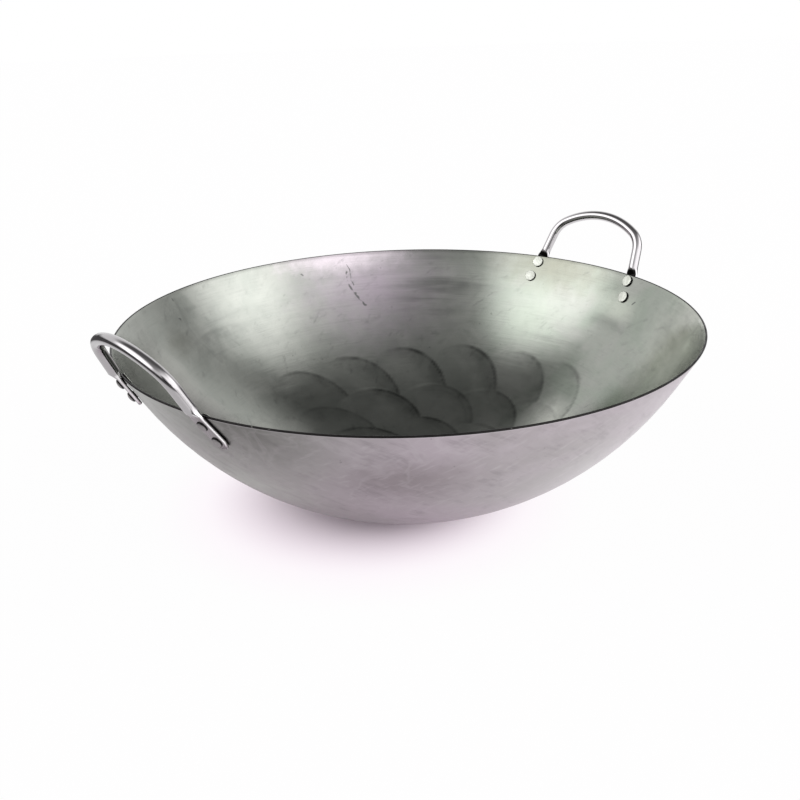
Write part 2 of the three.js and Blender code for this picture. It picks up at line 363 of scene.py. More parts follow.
def rub_lines_group():
    """Lines round the bowl's axis: noise that is stretched along the way round, and leans with height."""
    tree, given, out = new_group("rub lines", {"Around": 6.0, "Across": 900.0, "Lean": 0.0}, ["Lines"])
    place = object_place(tree)
    place = turned(tree, place, times(tree, height_of(tree, place), given["Lean"]))
    level = level_part(tree, place)
    round_way = scaled(tree, vector(tree, "NORMALIZE", level), given["Around"])
    length = calc(tree, "ADD", vector(tree, "LENGTH", level), height_of(tree, place))
    rise = put(tree, "ShaderNodeCombineXYZ", {"Z": times(tree, length, given["Across"])}).outputs[0]
    sockets = {"Vector": vector(tree, "ADD", round_way, rise), "Scale": 1.0, "Detail": 3.0, "Roughness": 0.6}
    tree.links.new(put(tree, "ShaderNodeTexNoise", sockets).outputs[0], out.inputs["Lines"])
    return tree


def clouding_group():
    """Soft clouds and small specks, as oil, scale and handling leave them."""
    tree, given, out = new_group("clouding", {"Size": 20.0, "Speck Size": 260.0}, ["Clouds", "Specks"])
    place = object_place(tree)
    soft = {"Vector": place, "Scale": given["Size"], "Detail": 3.0, "Roughness": 0.55, "Distortion": 0.6}
    clouds = put(tree, "ShaderNodeTexNoise", soft).outputs[0]
    small = {"Vector": place, "Scale": given["Speck Size"], "Detail": 2.0}
    specks = put(tree, "ShaderNodeTexNoise", small).outputs[0]
    tree.links.new(ease(tree, clouds, *CLOUD_SPAN), out.inputs["Clouds"])
    tree.links.new(ease(tree, specks, *SPECK_SPAN), out.inputs["Specks"])
    return tree


RUB_LINES = rub_lines_group()
CLOUDING = clouding_group()
print("finishes:", RUB_LINES.name, "and", CLOUDING.name)

# %% Stains, painted patches and scratches
WAVER = 4 * MM
RAGGEDNESS = 2.4
SCRATCH_SPAN = (1.2, 0.3)


def soft_patch_group():
    """A soft patch with a broken edge round one place, stretched by a reach along each axis. It marks stains,
    and also patches of painted highlight and painted shade.
    """
    inputs = {"Place": (0.0, 0.0, 0.0), "Reach": (0.02, 0.02, 0.02), "Core": 0.35, "Break": 0.5}
    tree, given, out = new_group("stain", inputs, ["Mask"])
    place = object_place(tree)
    away = vector(tree, "DIVIDE", vector(tree, "SUBTRACT", place, given["Place"]), given["Reach"])
    ragged = put(tree, "ShaderNodeTexNoise", {"Vector": place, "Scale": 120.0, "Detail": 5.0}).outputs[0]
    wander = times(tree, calc(tree, "SUBTRACT", ragged, 0.5), given["Break"])
    distance = calc(tree, "ADD", vector(tree, "LENGTH", away), wander)
    tree.links.new(ease(tree, distance, 1.0, given["Core"]), out.inputs["Mask"])
    return tree


def scratch_group():
    """A thin line from one place along a way, which wavers and has a ragged edge."""
    inputs = {"From": (0.0, 0.0, 0.0), "Along": (0.0, 0.0, 0.01), "Width": 0.0006}
    tree, given, out = new_group("scratch", inputs, ["Mask"])
    place = object_place(tree)
    noise = put(tree, "ShaderNodeTexNoise", {"Vector": place, "Scale": 160.0, "Detail": 2.0}).outputs
    middled = vector(tree, "SUBTRACT", noise["Color"], (0.5, 0.5, 0.5))
    shake = vector(tree, "MULTIPLY", middled, (WAVER, WAVER, WAVER))
    reach = vector(tree, "SUBTRACT", vector(tree, "ADD", place, shake), given["From"])
    square = vector(tree, "DOT_PRODUCT", given["Along"], given["Along"])
    share = calc(tree, "DIVIDE", vector(tree, "DOT_PRODUCT", reach, given["Along"]), square, clamp=True)
    nearest = scaled(tree, given["Along"], share)
    away = calc(tree, "DIVIDE", vector(tree, "DISTANCE", reach, nearest), given["Width"])
    ragged = calc(tree, "MULTIPLY_ADD", noise[0], RAGGEDNESS, -RAGGEDNESS / 2)
    tree.links.new(ease(tree, calc(tree, "ADD", away, ragged), *SCRATCH_SPAN), out.inputs["Mask"])
    return tree


SOFT_PATCH = soft_patch_group()
SCRATCH = scratch_group()


def use_group(tree, group, **values):
    """Places a group in a material with its own values; an underscore stands for a space."""
    node = tree.nodes.new("ShaderNodeGroup")
    node.node_tree = group
    for label, value in values.items():
        node.inputs[label.replace("_", " ")].default_value = value
    return node.outputs


def soft_patch_mask(tree, middle, reach, core, broken):
    middle, reach = Vector(middle) * MM, Vector(reach) * MM
    return use_group(tree, SOFT_PATCH, Place=middle, Reach=reach, Core=core, Break=broken)["Mask"]


print("finishes:", SOFT_PATCH.name, "and", SCRATCH.name)

# %% [markdown]
# ## Steel of the bowl
#
# Inside, the sheet has a soft shine and goes from grey on the left to green-grey on the right. A mauve bloom
# lies on the far wall, pale and dark stains round the sides, two pale patches of painted highlight on the
# right wall, and dark streaks, smears, scratches and specks over all of it. Round the belly the hammer marks
# have dark edges with painted shade inside them, which the mesh carries as an attribute. Outside it is duller
# and mauve, with painted shade beside the left handle and a painted highlight just under the rim, and the cut
# edge of the rim is dark. One metal shader does for all three; the differences are colour, roughness and how
# deep the lines are, so each is a material of its own.

# %% Stains, painted highlights, smudges and scratches of the inside
# Each stain has its colour, its middle and reach in millimetres, and where its solid core ends. The fourth
# and fifth are not stains but painted highlights: pale patches that brighten the right wall where light
# falls.
INSIDE_STAINS_AND_SHEEN = [
    (tone(166, 156, 165), (104, 158, 102), (98, 98, 80), -0.1),
    (tone(221, 211, 218), (92, 183, 130), (84, 84, 21), 0.1),
    (tone(134, 135, 124), (192, 28, 126), (60, 85, 34), 0.0),
    # Painted highlight beside the right lamp's reflection.
    (tone(166, 173, 162), (170, 34, 82), (38, 42, 36), 0.0),
    # Painted highlight on the near right wall.
    (tone(198, 201, 191), (140, -140, 108), (75, 75, 60), -0.1),
    (tone(220, 223, 213), (118, -150, 100), (46, 46, 50), 0.0),
    (tone(188, 193, 182), (184, -48, 106), (30, 30, 18), 0.0),
    (tone(198, 200, 192), (112, -42, 30), (36, 30, 20), 0.0),
    (tone(134, 136, 129), (-94, 158, 98), (26, 26, 16), 0.0),
]
PATCH_BREAK = 0.5
# The streaked patch and each smudge have a middle and a reach in millimetres.
STREAKED = (142, 113, 102), (72, 72, 46)
SMUDGES = [
    ((-60, 172, 96), (46, 46, 40)),
    ((175, -44, 93), (30, 36, 9)),
]
SMUDGE_BREAK = 1.2
# Each smear and scratch has its start, the way it runs, and its width, all in millimetres.
SMEARS = [
    ((-80.0, 183.6, 123.9), (2.9, -13.2, -22.6), 2.6),
    ((-77.1, 170.4, 101.3), (17.0, -14.9, -27.6), 2.6),
    ((-56.9, 180.2, 104.4), (22.5, -12.8, -25.6), 2.0),
    ((180.1, -24.9, 93.3), (-2.5, -14.9, 0.4), 2.6),
    ((177.6, -39.8, 93.7), (-7.6, -22.3, -1.6), 3.0),
]
SCRATCHES = [
    ((87.2, 179.0, 123.0), (-2.6, -11.0, -20.0), 0.8),
    ((90.0, 177.0, 121.0), (-2.4, -10.0, -17.0), 0.5),
    ((84.6, 168.0, 103.0), (4.5, -13.4, -14.6), 1.2),
    ((-83.6, 174.2, 111.6), (3.0, -0.6, -1.4), 0.9),
    ((-82.8, 174.0, 111.6), (1.0, -2.4, -3.2), 0.8),
    ((48.8, 190.2, 117.4), (1.2, -1.2, -1.6), 0.9),
    ((-82.4, 184.0, 125.4), (0.8, -1.2, -1.8), 0.8),
    ((182.6, -61.0, 111.8), (2.2, -3.6, 2.6), 0.8),
]


def add_stains_and_painted_light(tree, colour, stains):
    for shade, middle, reach, core in stains:
        colour = mix_colours(tree, soft_patch_mask(tree, middle, reach, core, PATCH_BREAK), colour, shade)
    return colour


def scratched(tree, dark, lines, weight):
    """Adds thin lines of one weight to what is dark already."""
    for start, along, width in lines:
        start, along = Vector(start) * MM, Vector(along) * MM
        mask = use_group(tree, SCRATCH, From=start, Along=along, Width=width * MM)["Mask"]
        dark = most(tree, dark, times(tree, mask, weight))
    return dark


print(len(INSIDE_STAINS_AND_SHEEN), "stains,", len(SMEARS), "smears and", len(SCRATCHES), "scratches inside")

# %% Wear of the inside
# A weight of four numbers goes from the third to the fourth as its pattern goes from the first to the second.
STREAK_WEIGHT = (0.4, 0.75, 0.0, 0.65)
WISP_WEIGHT = (0.4, 0.65, 0.18, 0.45)
FINE_WEIGHT = (0.4, 0.75, 0.03, 0.2)
WIPED_WEIGHT = (0.5, 0.75, 0.0, 0.4)
SMEAR_WEIGHT = 0.24
SCRATCH_WEIGHT = 0.85
SPECK_WEIGHT = 0.25
SCUFF_WEIGHT = 0.5
SCUFFS_FROM = (38 * MM, 55 * MM)
SCUFFS_TO = (100 * MM, 75 * MM)


def inside_dark(tree, place, clouds, scuffs, fine, broad):
    """How far streaks, smudges, smears, scratches, specks, scuffs and wear darken the steel."""
    streaked = soft_patch_mask(tree, *STREAKED, 0.0, PATCH_BREAK)
    dark = times(tree, streaked, ease(tree, broad, *STREAK_WEIGHT))
    wisps = ease(tree, broad, *WISP_WEIGHT)
    for middle, reach in SMUDGES:
        dark = most(tree, dark, times(tree, soft_patch_mask(tree, middle, reach, 0.0, SMUDGE_BREAK), wisps))
    dark = scratched(tree, dark, SMEARS, SMEAR_WEIGHT)
    dark = scratched(tree, dark, SCRATCHES, SCRATCH_WEIGHT)
    dark = most(tree, dark, times(tree, clouds["Specks"], SPECK_WEIGHT))
    height = height_of(tree, place)
    belt = times(tree, ease(tree, height, *SCUFFS_FROM), ease(tree, height, *SCUFFS_TO))
    scuffed = times(tree, belt, times(tree, scuffs["Specks"], SCUFF_WEIGHT))
    wiped = use_group(tree, RUB_LINES, Around=22.0, Across=75.0, Lean=6.0)["Lines"]
    worn = most(tree, ease(tree, fine, *FINE_WEIGHT), ease(tree, wiped, *WIPED_WEIGHT))
    return most(tree, dark, most(tree, scuffed, times(tree, worn, scuffs["Clouds"])))


print("a belt of scuffs from", round(SCUFFS_FROM[0] / MM), "to", round(SCUFFS_TO[0] / MM), "mm high")

# %% Steel inside the bowl
INSIDE_GREY = tone(150, 153, 147)
INSIDE_PALE = tone(164, 166, 160)
INSIDE_GREEN = tone(152, 159, 149)
RUB_DARK = tone(84, 86, 84)
MARK_DARK = tone(52, 54, 52)
EDGE_WEIGHT = (0.5, 0.95)
# The way across the bowl in which its tint changes, and where along it the change begins and ends.
ACROSS_BOWL = (0.7428, -0.6695, 0)
GREEN_SPAN = (20 * MM, 120 * MM)
INSIDE_ROUGH = 0.12
CLOUDS_ROUGH = 0.06
LINES_ROUGH = 0.08
FINE_RELIEF = 0.12
INSIDE_RELIEF = (0.2, 0.35 * MM)


def steel(name):
    """A bare metal material: returns it with its tree and its shader."""
    material = bpy.data.materials.new(name)
    material.use_nodes = True
    tree = material.node_tree
    tree.nodes.clear()
    shader = put(tree, "ShaderNodeBsdfPrincipled", {"Metallic": 1.0})
    put(tree, "ShaderNodeOutputMaterial", {"Surface": shader.outputs[0]})
    return material, tree, shader


def relief(tree, shader, height, strength, distance):
    bump = put(tree, "ShaderNodeBump", {"Height": height, "Strength": strength, "Distance": distance})
    tree.links.new(bump.outputs[0], shader.inputs["Normal"])


def inside_tint(tree, place, clouds):
    """Grey to green across the bowl, paler in clouds, with its stains."""
    green = ease(tree, vector(tree, "DOT_PRODUCT", place, ACROSS_BOWL), *GREEN_SPAN)
    colour = mix_colours(tree, green, INSIDE_GREY, INSIDE_GREEN)
    colour = mix_colours(tree, clouds["Clouds"], colour, INSIDE_PALE)
    return add_stains_and_painted_light(tree, colour, INSIDE_STAINS_AND_SHEEN)


def inside_steel():
    material, tree, shader = steel("bowl_inside_steel")
    place = object_place(tree)
    clouds = use_group(tree, CLOUDING, Size=26.0, Speck_Size=330.0)
    scuffs = use_group(tree, CLOUDING, Size=70.0, Speck_Size=170.0)
    fine = use_group(tree, RUB_LINES, Around=5.0, Across=700.0)["Lines"]
    broad = use_group(tree, RUB_LINES, Around=1.8, Across=85.0)["Lines"]
    dark = inside_dark(tree, place, clouds, scuffs, fine, broad)
    colour = mix_colours(tree, dark, inside_tint(tree, place, clouds), RUB_DARK)
    # The marks' dark lines, and the painted shade inside them, darken the colour toward MARK_DARK.
    edge = times(tree, painted(tree, "mark_edge"), mix_values(tree, scuffs["Clouds"], *EDGE_WEIGHT))
    tree.links.new(mix_colours(tree, edge, colour, MARK_DARK), shader.inputs["Base Color"])
    clouded = times(tree, clouds["Clouds"], CLOUDS_ROUGH)
    rough = calc(tree, "ADD", clouded, times(tree, broad, LINES_ROUGH))
    tree.links.new(calc(tree, "ADD", rough, INSIDE_ROUGH), shader.inputs["Roughness"])
    relief(tree, shader, calc(tree, "MULTIPLY_ADD", fine, FINE_RELIEF, broad), *INSIDE_RELIEF)
    return material


INSIDE_STEEL = inside_steel()
print("made", INSIDE_STEEL.name, "with", len(INSIDE_STEEL.node_tree.nodes), "nodes")

# %% Steel outside the bowl
OUTSIDE_GREY = tone(150, 144, 146)
OUTSIDE_MAUVE = tone(170, 160, 167)
OUTSIDE_LEFT = tone(162, 163, 159)
OUTSIDE_DARK = tone(112, 106, 110)
OUTSIDE_BRIGHT = tone(196, 190, 194)
OUTSIDE_STAINS_AND_SHADE = [
    # Painted shade beside the left handle's near foot; the other two are stains.
    (tone(118, 117, 114), (-190, -74, 126), (70, 75, 46), -0.1),
    (tone(190, 197, 188), (-160, -25, 66), (60, 75, 36), -0.1),
    (tone(140, 131, 135), (-124, -138, 90), (60, 60, 32), 0.0),
]
LEFT_SPAN = (10 * MM, -130 * MM)
SMEARED_LINES = (0.42, 0.75)
SMEARED_CLOUDS = (0.2, 1.0, 0.1, 0.4)
OUTSIDE_SPECKS = 0.5
VEIN_WEIGHT = (0.2, 0.0, 0.0, 0.14)
CROSSED_WEIGHT = (0.5, 0.85, 0.0, 0.3)
RIM_HIGHLIGHT = (127.5 * MM, 128.6 * MM, 0.0, 0.7)
OUTSIDE_ROUGH = 0.3
PATCHES_ROUGH = 0.12
OUTSIDE_RELIEF = (0.3, 0.15 * MM)


def outside_steel():
    material, tree, shader = steel("bowl_outside_steel")
    place = object_place(tree)
    clouds = use_group(tree, CLOUDING, Size=34.0, Speck_Size=300.0)
    patches = use_group(tree, CLOUDING, Size=11.0, Speck_Size=420.0)
    lines = use_group(tree, RUB_LINES, Around=26.0, Across=70.0, Lean=7.0)["Lines"]
    crossed = use_group(tree, RUB_LINES, Around=30.0, Across=80.0, Lean=-8.0)["Lines"]
    colour = mix_colours(tree, patches["Clouds"], OUTSIDE_GREY, OUTSIDE_MAUVE)
    left = ease(tree, vector(tree, "DOT_PRODUCT", place, ACROSS_BOWL), *LEFT_SPAN)
    colour = add_stains_and_painted_light(tree, mix_colours(tree, left, colour, OUTSIDE_LEFT), OUTSIDE_STAINS_AND_SHADE)
    smeared = times(tree, ease(tree, lines, *SMEARED_LINES), ease(tree, clouds["Clouds"], *SMEARED_CLOUDS))
    dark = most(tree, times(tree, clouds["Specks"], OUTSIDE_SPECKS), smeared)
    colour = mix_colours(tree, dark, colour, OUTSIDE_DARK)
    veins = ease(tree, apart(tree, clouds["Clouds"], 0.5), *VEIN_WEIGHT)
    pale = most(tree, times(tree, veins, patches["Clouds"]), ease(tree, crossed, *CROSSED_WEIGHT))
    # Painted highlight: a pale band along the outside just under the rim.
    pale = most(tree, pale, ease(tree, height_of(tree, place), *RIM_HIGHLIGHT))
    tree.links.new(mix_colours(tree, pale, colour, OUTSIDE_BRIGHT), shader.inputs["Base Color"])
    rough = calc(tree, "MULTIPLY_ADD", patches["Clouds"], PATCHES_ROUGH, OUTSIDE_ROUGH)
    tree.links.new(rough, shader.inputs["Roughness"])
    relief(tree, shader, calc(tree, "ADD", lines, clouds["Clouds"]), *OUTSIDE_RELIEF)
    return material


OUTSIDE_STEEL = outside_steel()
print("made", OUTSIDE_STEEL.name, "with", len(OUTSIDE_STEEL.node_tree.nodes), "nodes")

# %% Steel of the cut edge
EDGE_DARK = tone(44, 42, 42)
EDGE_WORN = tone(120, 118, 116)
EDGE_ROUGH = 0.35
EDGE_CLOUDS_ROUGH = 0.2


def edge_steel():
    material, tree, shader = steel("bowl_edge_steel")
    clouds = use_group(tree, CLOUDING, Size=60.0, Speck_Size=500.0)
    tree.links.new(mix_colours(tree, clouds["Specks"], EDGE_DARK, EDGE_WORN), shader.inputs["Base Color"])
    rough = calc(tree, "MULTIPLY_ADD", clouds["Clouds"], EDGE_CLOUDS_ROUGH, EDGE_ROUGH)
    tree.links.new(rough, shader.inputs["Roughness"])
    return material


EDGE_STEEL = edge_steel()
print("made", EDGE_STEEL.name)

# %% [markdown]
# ## Profile of the bowl
#
# The sheet is a flat spot to stand on, a belly arc, a side arc and a straight band up to the rim. A profile
# could be drawn as a curve, but the same few sizes as in the frame's own bowl give both skins of the sheet
# and the half-round rim between them exactly. Each point of the profile carries the direction out of the
# sheet and says whether it is inside, outside or on the edge.

# %% Profile points
RIM_RADIUS = 205 * MM
BOWL_HEIGHT = 129 * MM
FLAT_SPOT_RADIUS = 20 * MM
BELLY_SWEEP = math.radians(26.7)
WALL_SLOPE = math.radians(59.8)
WALL_BAND = 26 * MM
SHEET_THICKNESS = 1.5 * MM
OUTSIDE_STEPS = {"flat": 2, "belly": 8, "side": 12, "band": 2}
INSIDE_STEPS = {"flat": 9, "belly": 56, "side": 110, "band": 9}
RIM_STEPS = 6
WALL_OUT = np.array([math.sin(WALL_SLOPE), -math.cos(WALL_SLOPE)])
UP_WALL = np.array([math.cos(WALL_SLOPE), math.sin(WALL_SLOPE)])


def arc_radii():
    """Radii of the belly and side arcs, so that they join the flat spot and the band without a kink."""
    reach = RIM_RADIUS - FLAT_SPOT_RADIUS - WALL_BAND * math.cos(WALL_SLOPE)
    rise = BOWL_HEIGHT - WALL_BAND * math.sin(WALL_SLOPE)
    belly = np.array([math.sin(BELLY_SWEEP), 1 - math.cos(BELLY_SWEEP)])
    side = np.array([math.sin(WALL_SLOPE), 1 - math.cos(WALL_SLOPE)]) - belly
    return np.linalg.solve(np.column_stack([belly, side]), [reach, rise])


BELLY_RADIUS, SIDE_RADIUS = arc_radii()


def skin_points(inset, steps, sign):
    """Points of one skin from the middle to the rim, each with the direction out of the sheet."""
    belly_middle = np.array([FLAT_SPOT_RADIUS, BELLY_RADIUS])
    turn_out = np.array([math.sin(BELLY_SWEEP), -math.cos(BELLY_SWEEP)])
    side_middle = belly_middle + turn_out * (BELLY_RADIUS - SIDE_RADIUS)
    flat_radii = np.linspace(0, FLAT_SPOT_RADIUS, steps["flat"] + 1)
    rows = [((radius, inset), (0.0, -sign)) for radius in flat_radii]
    for middle, radius, start, end, count in (
        (belly_middle, BELLY_RADIUS, 0.0, BELLY_SWEEP, steps["belly"]),
        (side_middle, SIDE_RADIUS, BELLY_SWEEP, WALL_SLOPE, steps["side"]),
    ):
        for angle in np.linspace(start, end, count + 1)[1:]:
            out = np.array([math.sin(angle), -math.cos(angle)])
            rows.append((middle + out * (radius - inset), out * sign))
    band_start = np.array(rows[-1][0])
    for run in np.linspace(0, WALL_BAND - SHEET_THICKNESS / 2, steps["band"] + 1)[1:]:
        rows.append((band_start + UP_WALL * run, WALL_OUT * sign))
    return rows


def rim_points():
    """The half round across the cut edge of the sheet."""
    radius = SHEET_THICKNESS / 2
    middle = np.array([RIM_RADIUS, BOWL_HEIGHT]) - WALL_OUT * radius - UP_WALL * radius
    turns = np.linspace(0, math.pi, RIM_STEPS + 1)[1:-1]
    ways = [WALL_OUT * math.cos(turn) + UP_WALL * math.sin(turn) for turn in turns]
    return [(middle + way * radius, way) for way in ways]


outside_rows = skin_points(0.0, OUTSIDE_STEPS, 1)
rim_rows = rim_points()
inside_rows = skin_points(SHEET_THICKNESS, INSIDE_STEPS, -1)[::-1]
profile_rows = outside_rows + rim_rows + inside_rows
print("profile of", len(profile_rows), "points")
print("arcs", round(BELLY_RADIUS, 4), "and", round(SIDE_RADIUS, 4), "m")

# %% [markdown]
# ## Spinning a profile
#
# The bowl and the rivets are both a profile spun about an axis. The Screw modifier could spin them, but it
# drops what each point of the profile carries. A small set of geometry nodes does it and keeps that: a grid
# has one row for each point of the profile, and is wrapped round the axis row by row.

# %% Spin a profile
BOWL_SEGMENTS = 448
MERGED_WITHIN = 0.002 * MM


def points_attribute(tree, mesh, name, value, kind="FLOAT"):
    sockets = {"Geometry": mesh, "Name": name, "Value": value}
    node = put(tree, "GeometryNodeStoreNamedAttribute", sockets, data_type=kind, domain="POINT")
    return node.outputs[0]


def read_attribute(tree, name, kind="FLOAT"):
    node = put(tree, "GeometryNodeInputNamedAttribute", {"Name": name}, data_type=kind)
    return node.outputs["Attribute"]


def spin_profile(tree, profile, segments):
    """Wraps a grid round the Z axis: one row for each point of the profile, one column for each segment."""
    rows = put(tree, "GeometryNodeAttributeDomainSize", {"Geometry": profile}).outputs["Point Count"]
    columns = calc(tree, "ADD", segments, 1.0)
    grid = put(tree, "GeometryNodeMeshGrid", {"Vertices X": rows, "Vertices Y": columns}).outputs["Mesh"]
    index = put(tree, "GeometryNodeInputIndex").outputs[0]
    row = calc(tree, "FLOOR", calc(tree, "DIVIDE", index, columns))
    turn = times(tree, calc(tree, "DIVIDE", calc(tree, "MODULO", index, columns), segments), math.tau)

    def of_row(value, kind):
        sockets = {"Geometry": profile, "Value": value, "Index": row}
        return put(tree, "GeometryNodeSampleIndex", sockets, data_type=kind, domain="POINT").outputs[0]

    for name in ("inside", "edge"):
        grid = points_attribute(tree, grid, name, of_row(read_attribute(tree, name), "FLOAT"))
    out = of_row(read_attribute(tree, "out", "FLOAT_VECTOR"), "FLOAT_VECTOR")
    grid = points_attribute(tree, grid, "out", turned(tree, out, turn), "FLOAT_VECTOR")
    point = of_row(put(tree, "GeometryNodeInputPosition").outputs[0], "FLOAT_VECTOR")
    sockets = {"Geometry": grid, "Position": turned(tree, point, turn)}
    spun = put(tree, "GeometryNodeSetPosition", sockets).outputs[0]
    sockets = {"Geometry": spun, "Distance": MERGED_WITHIN}
    return put(tree, "GeometryNodeMergeByDistance", sockets).outputs[0]


print("a segment is", round(math.tau * RIM_RADIUS / BOWL_SEGMENTS / MM, 2), "mm wide at the rim")

# %% [markdown]
# ## Hammer marks
#
# A hammer works round the inside of the belly in a spiral and leaves overlapping round marks, each struck
# over part of the last. A mark is a shallow facet that rises toward its leading side and falls away at its
# edge, with one or two dark lines along it and a painted shade just inside them. The lines and the shade fade
# on the side of the bowl where the wall catches the light. A bump texture would look flat from the side, and
# striking each mark by hand would take long. A repeat zone strikes one mark after another in the mesh itself.
# The grid's points beside a mark's edge slide onto the edge first, so that it is a clean round and not a
# staircase.

# %% Sizes of the marks
MARK_COUNT = 42
MARK_RADIUS = 36 * MM
MARK_SPACING = 40.5 * MM
MARK_DEPTH = 0.3 * MM
MARK_EDGE = 0.03
MARK_WANDER = 3.0 * MM
MARK_SEED = 7
MARK_LEAD = math.radians(-62)
RING_PITCH = 30 * MM
FIRST_RING = 126 * MM
FIRST_ANGLE = math.radians(-104.5)
SMALLEST_RING = 8 * MM
ROW_STEP = 1.0 * MM
# How far a point slides onto an edge, as a share of the grid's step, at first and when it has slid before.
SNAP_SHARE = 0.4
SNAPPED_SHARE = 0.2
# The marks are struck hardest on one side of the bowl. Each span goes from its least to its most.
MARK_SIDE = math.radians(45)
FORCE_BY_SIDE = (0.4, 0.8, 0.25, 1.0)
FACET_POWER = 3.0
FACET_LEAD = (-0.4, 0.9)
# Where the two dark lines lie, as shares of a mark's radius, and how they and the painted shade beside them
# fade. They fade most on the side of the bowl that catches the light: painted light.
LINE_AT = 0.975
LINE_SPAN = (0.055, 0.01)
SECOND_AT = 0.86
SECOND_SPAN = (0.045, 0.0, 0.0, 0.9)
SHADE_SPAN = (0.5, 0.98, 0.0, 0.5)
LINE_LEAD = (0.0, 0.8)
SHOWN_BY_SIDE = (0.3, 0.8, 0.12, 1.0)
SHOWN_BY_CHANCE = (-1.0, 0.6, 0.5, 1.0)
print("the first ring takes", round(math.tau * FIRST_RING / MARK_SPACING, 1), "marks")


# %% One mark
def mark_place(tree, angle, ring, turn, given):
    """The way from the axis to a mark, the mark's middle, and what chance does to it."""
    sockets = {"X": calc(tree, "COSINE", angle), "Y": calc(tree, "SINE", angle)}
    way = put(tree, "ShaderNodeCombineXYZ", sockets).outputs[0]
    sockets = {"Min": (-1, -1, 0), "Max": (1, 1, 0), "ID": turn, "Seed": given["Seed"]}
    shake = put(tree, "FunctionNodeRandomValue", sockets, data_type="FLOAT_VECTOR").outputs[0]
    middle = vector(tree, "ADD", scaled(tree, way, ring), scaled(tree, shake, given["Wander"]))
    return way, middle, shake


def snap_to_edge(tree, sheet, away, missing, given):
    """Slides the points beside a mark's edge along the sheet onto the edge."""
    plan = level_part(tree, put(tree, "GeometryNodeInputPosition").outputs[0])
    way = vector(tree, "NORMALIZE", away)
    outward = calc(tree, "ABSOLUTE", vector(tree, "DOT_PRODUCT", way, vector(tree, "NORMALIZE", plan)))
    sideways = calc(tree, "SQRT", calc(tree, "SUBTRACT", 1.0, times(tree, outward, outward), clamp=True))
    round_length = times(tree, vector(tree, "LENGTH", plan), math.tau)
    column_step = calc(tree, "DIVIDE", round_length, given["Segments"])
    step = most(tree, times(tree, outward, given["Row Step"]), times(tree, sideways, column_step))
    share = mix_values(tree, read_attribute(tree, "snapped"), SNAP_SHARE, SNAPPED_SHARE)
    chosen = calc(tree, "COMPARE", missing, 0.0, times(tree, step, share))
    chosen = times(tree, chosen, read_attribute(tree, "inside"))
    sheet = points_attribute(tree, sheet, "chosen", chosen)
    chosen = read_attribute(tree, "chosen")
    out = read_attribute(tree, "out", "FLOAT_VECTOR")
    upright = times(tree, height_of(tree, out), -1.0)
    climb = calc(tree, "DIVIDE", vector(tree, "DOT_PRODUCT", out, way), upright)
    slide = vector(tree, "ADD", way, put(tree, "ShaderNodeCombineXYZ", {"Z": climb}).outputs[0])
    sockets = {"Geometry": sheet, "Selection": chosen, "Offset": scaled(tree, slide, missing)}
    sheet = put(tree, "GeometryNodeSetPosition", sockets).outputs[0]
    return points_attribute(tree, sheet, "snapped", most(tree, chosen, read_attribute(tree, "snapped")))


def mark_facet(tree, share, lead, facing, given):
    """How far a mark's facet stands up at a place: most in its middle and toward its leading side."""
    facet = calc(tree, "SUBTRACT", 1.0, calc(tree, "POWER", share, FACET_POWER), clamp=True)
    facet = times(tree, facet, ease(tree, lead, *FACET_LEAD))
    return times(tree, facet, times(tree, ease(tree, facing, *FORCE_BY_SIDE), given["Mark Depth"]))


def mark_lines(tree, share, lead, facing, cover, shake):
    """The dark line along a mark's leading edge, the second one beside it, and the painted shade between,
    fainter on the lit side of the bowl.
    """
    lines = ease(tree, apart(tree, share, LINE_AT), *LINE_SPAN)
    second = ease(tree, apart(tree, share, SECOND_AT), *SECOND_SPAN)
    chance = put(tree, "ShaderNodeSeparateXYZ", {0: shake}).outputs
    lines = most(tree, lines, times(tree, second, calc(tree, "ABSOLUTE", chance["X"])))
    lines = most(tree, lines, times(tree, cover, ease(tree, share, *SHADE_SPAN)))
    # The lines and the painted shade fade on the side of the bowl that catches the light.
    shown = times(tree, ease(tree, facing, *SHOWN_BY_SIDE), ease(tree, chance["Y"], *SHOWN_BY_CHANCE))
    lines = times(tree, lines, times(tree, shown, ease(tree, lead, *LINE_LEAD)))
    return times(tree, lines, read_attribute(tree, "inside"))


print("a mark wanders by up to", round(MARK_WANDER / MM, 1), "mm each way")


# %% All the marks
def strike_mark(tree, sheet, angle, ring, turn, given):
    """Strikes one mark, which wipes out what it covers of the earlier ones."""
    way, middle, shake = mark_place(tree, angle, ring, turn, given)
    plan = level_part(tree, put(tree, "GeometryNodeInputPosition").outputs[0])
    away = vector(tree, "SUBTRACT", plan, middle)
    gap = vector(tree, "LENGTH", away)
    share = calc(tree, "DIVIDE", gap, given["Mark Radius"])
    sheet = snap_to_edge(tree, sheet, away, calc(tree, "SUBTRACT", given["Mark Radius"], gap), given)
    lead_way = turned(tree, way, given["Lead"])
    lead = calc(tree, "DIVIDE", vector(tree, "DOT_PRODUCT", away, lead_way), given["Mark Radius"])
    facing = vector(tree, "DOT_PRODUCT", way, (math.cos(MARK_SIDE), math.sin(MARK_SIDE), 0))
    low = calc(tree, "SUBTRACT", 1.0, given["Edge"])
    high = calc(tree, "ADD", 1.0, given["Edge"])
    cover = times(tree, ease(tree, share, high, low), read_attribute(tree, "inside"))
    facet = mark_facet(tree, share, lead, facing, given)
    lines = mark_lines(tree, share, lead, facing, cover, shake)
    kept = times(tree, read_attribute(tree, "mark_edge"), calc(tree, "SUBTRACT", 1.0, cover))
    dent = mix_values(tree, cover, read_attribute(tree, "dent"), facet)
    sheet = points_attribute(tree, sheet, "pressed", dent)
    sheet = points_attribute(tree, sheet, "mark_edge", most(tree, kept, lines))
    return points_attribute(tree, sheet, "dent", read_attribute(tree, "pressed"))


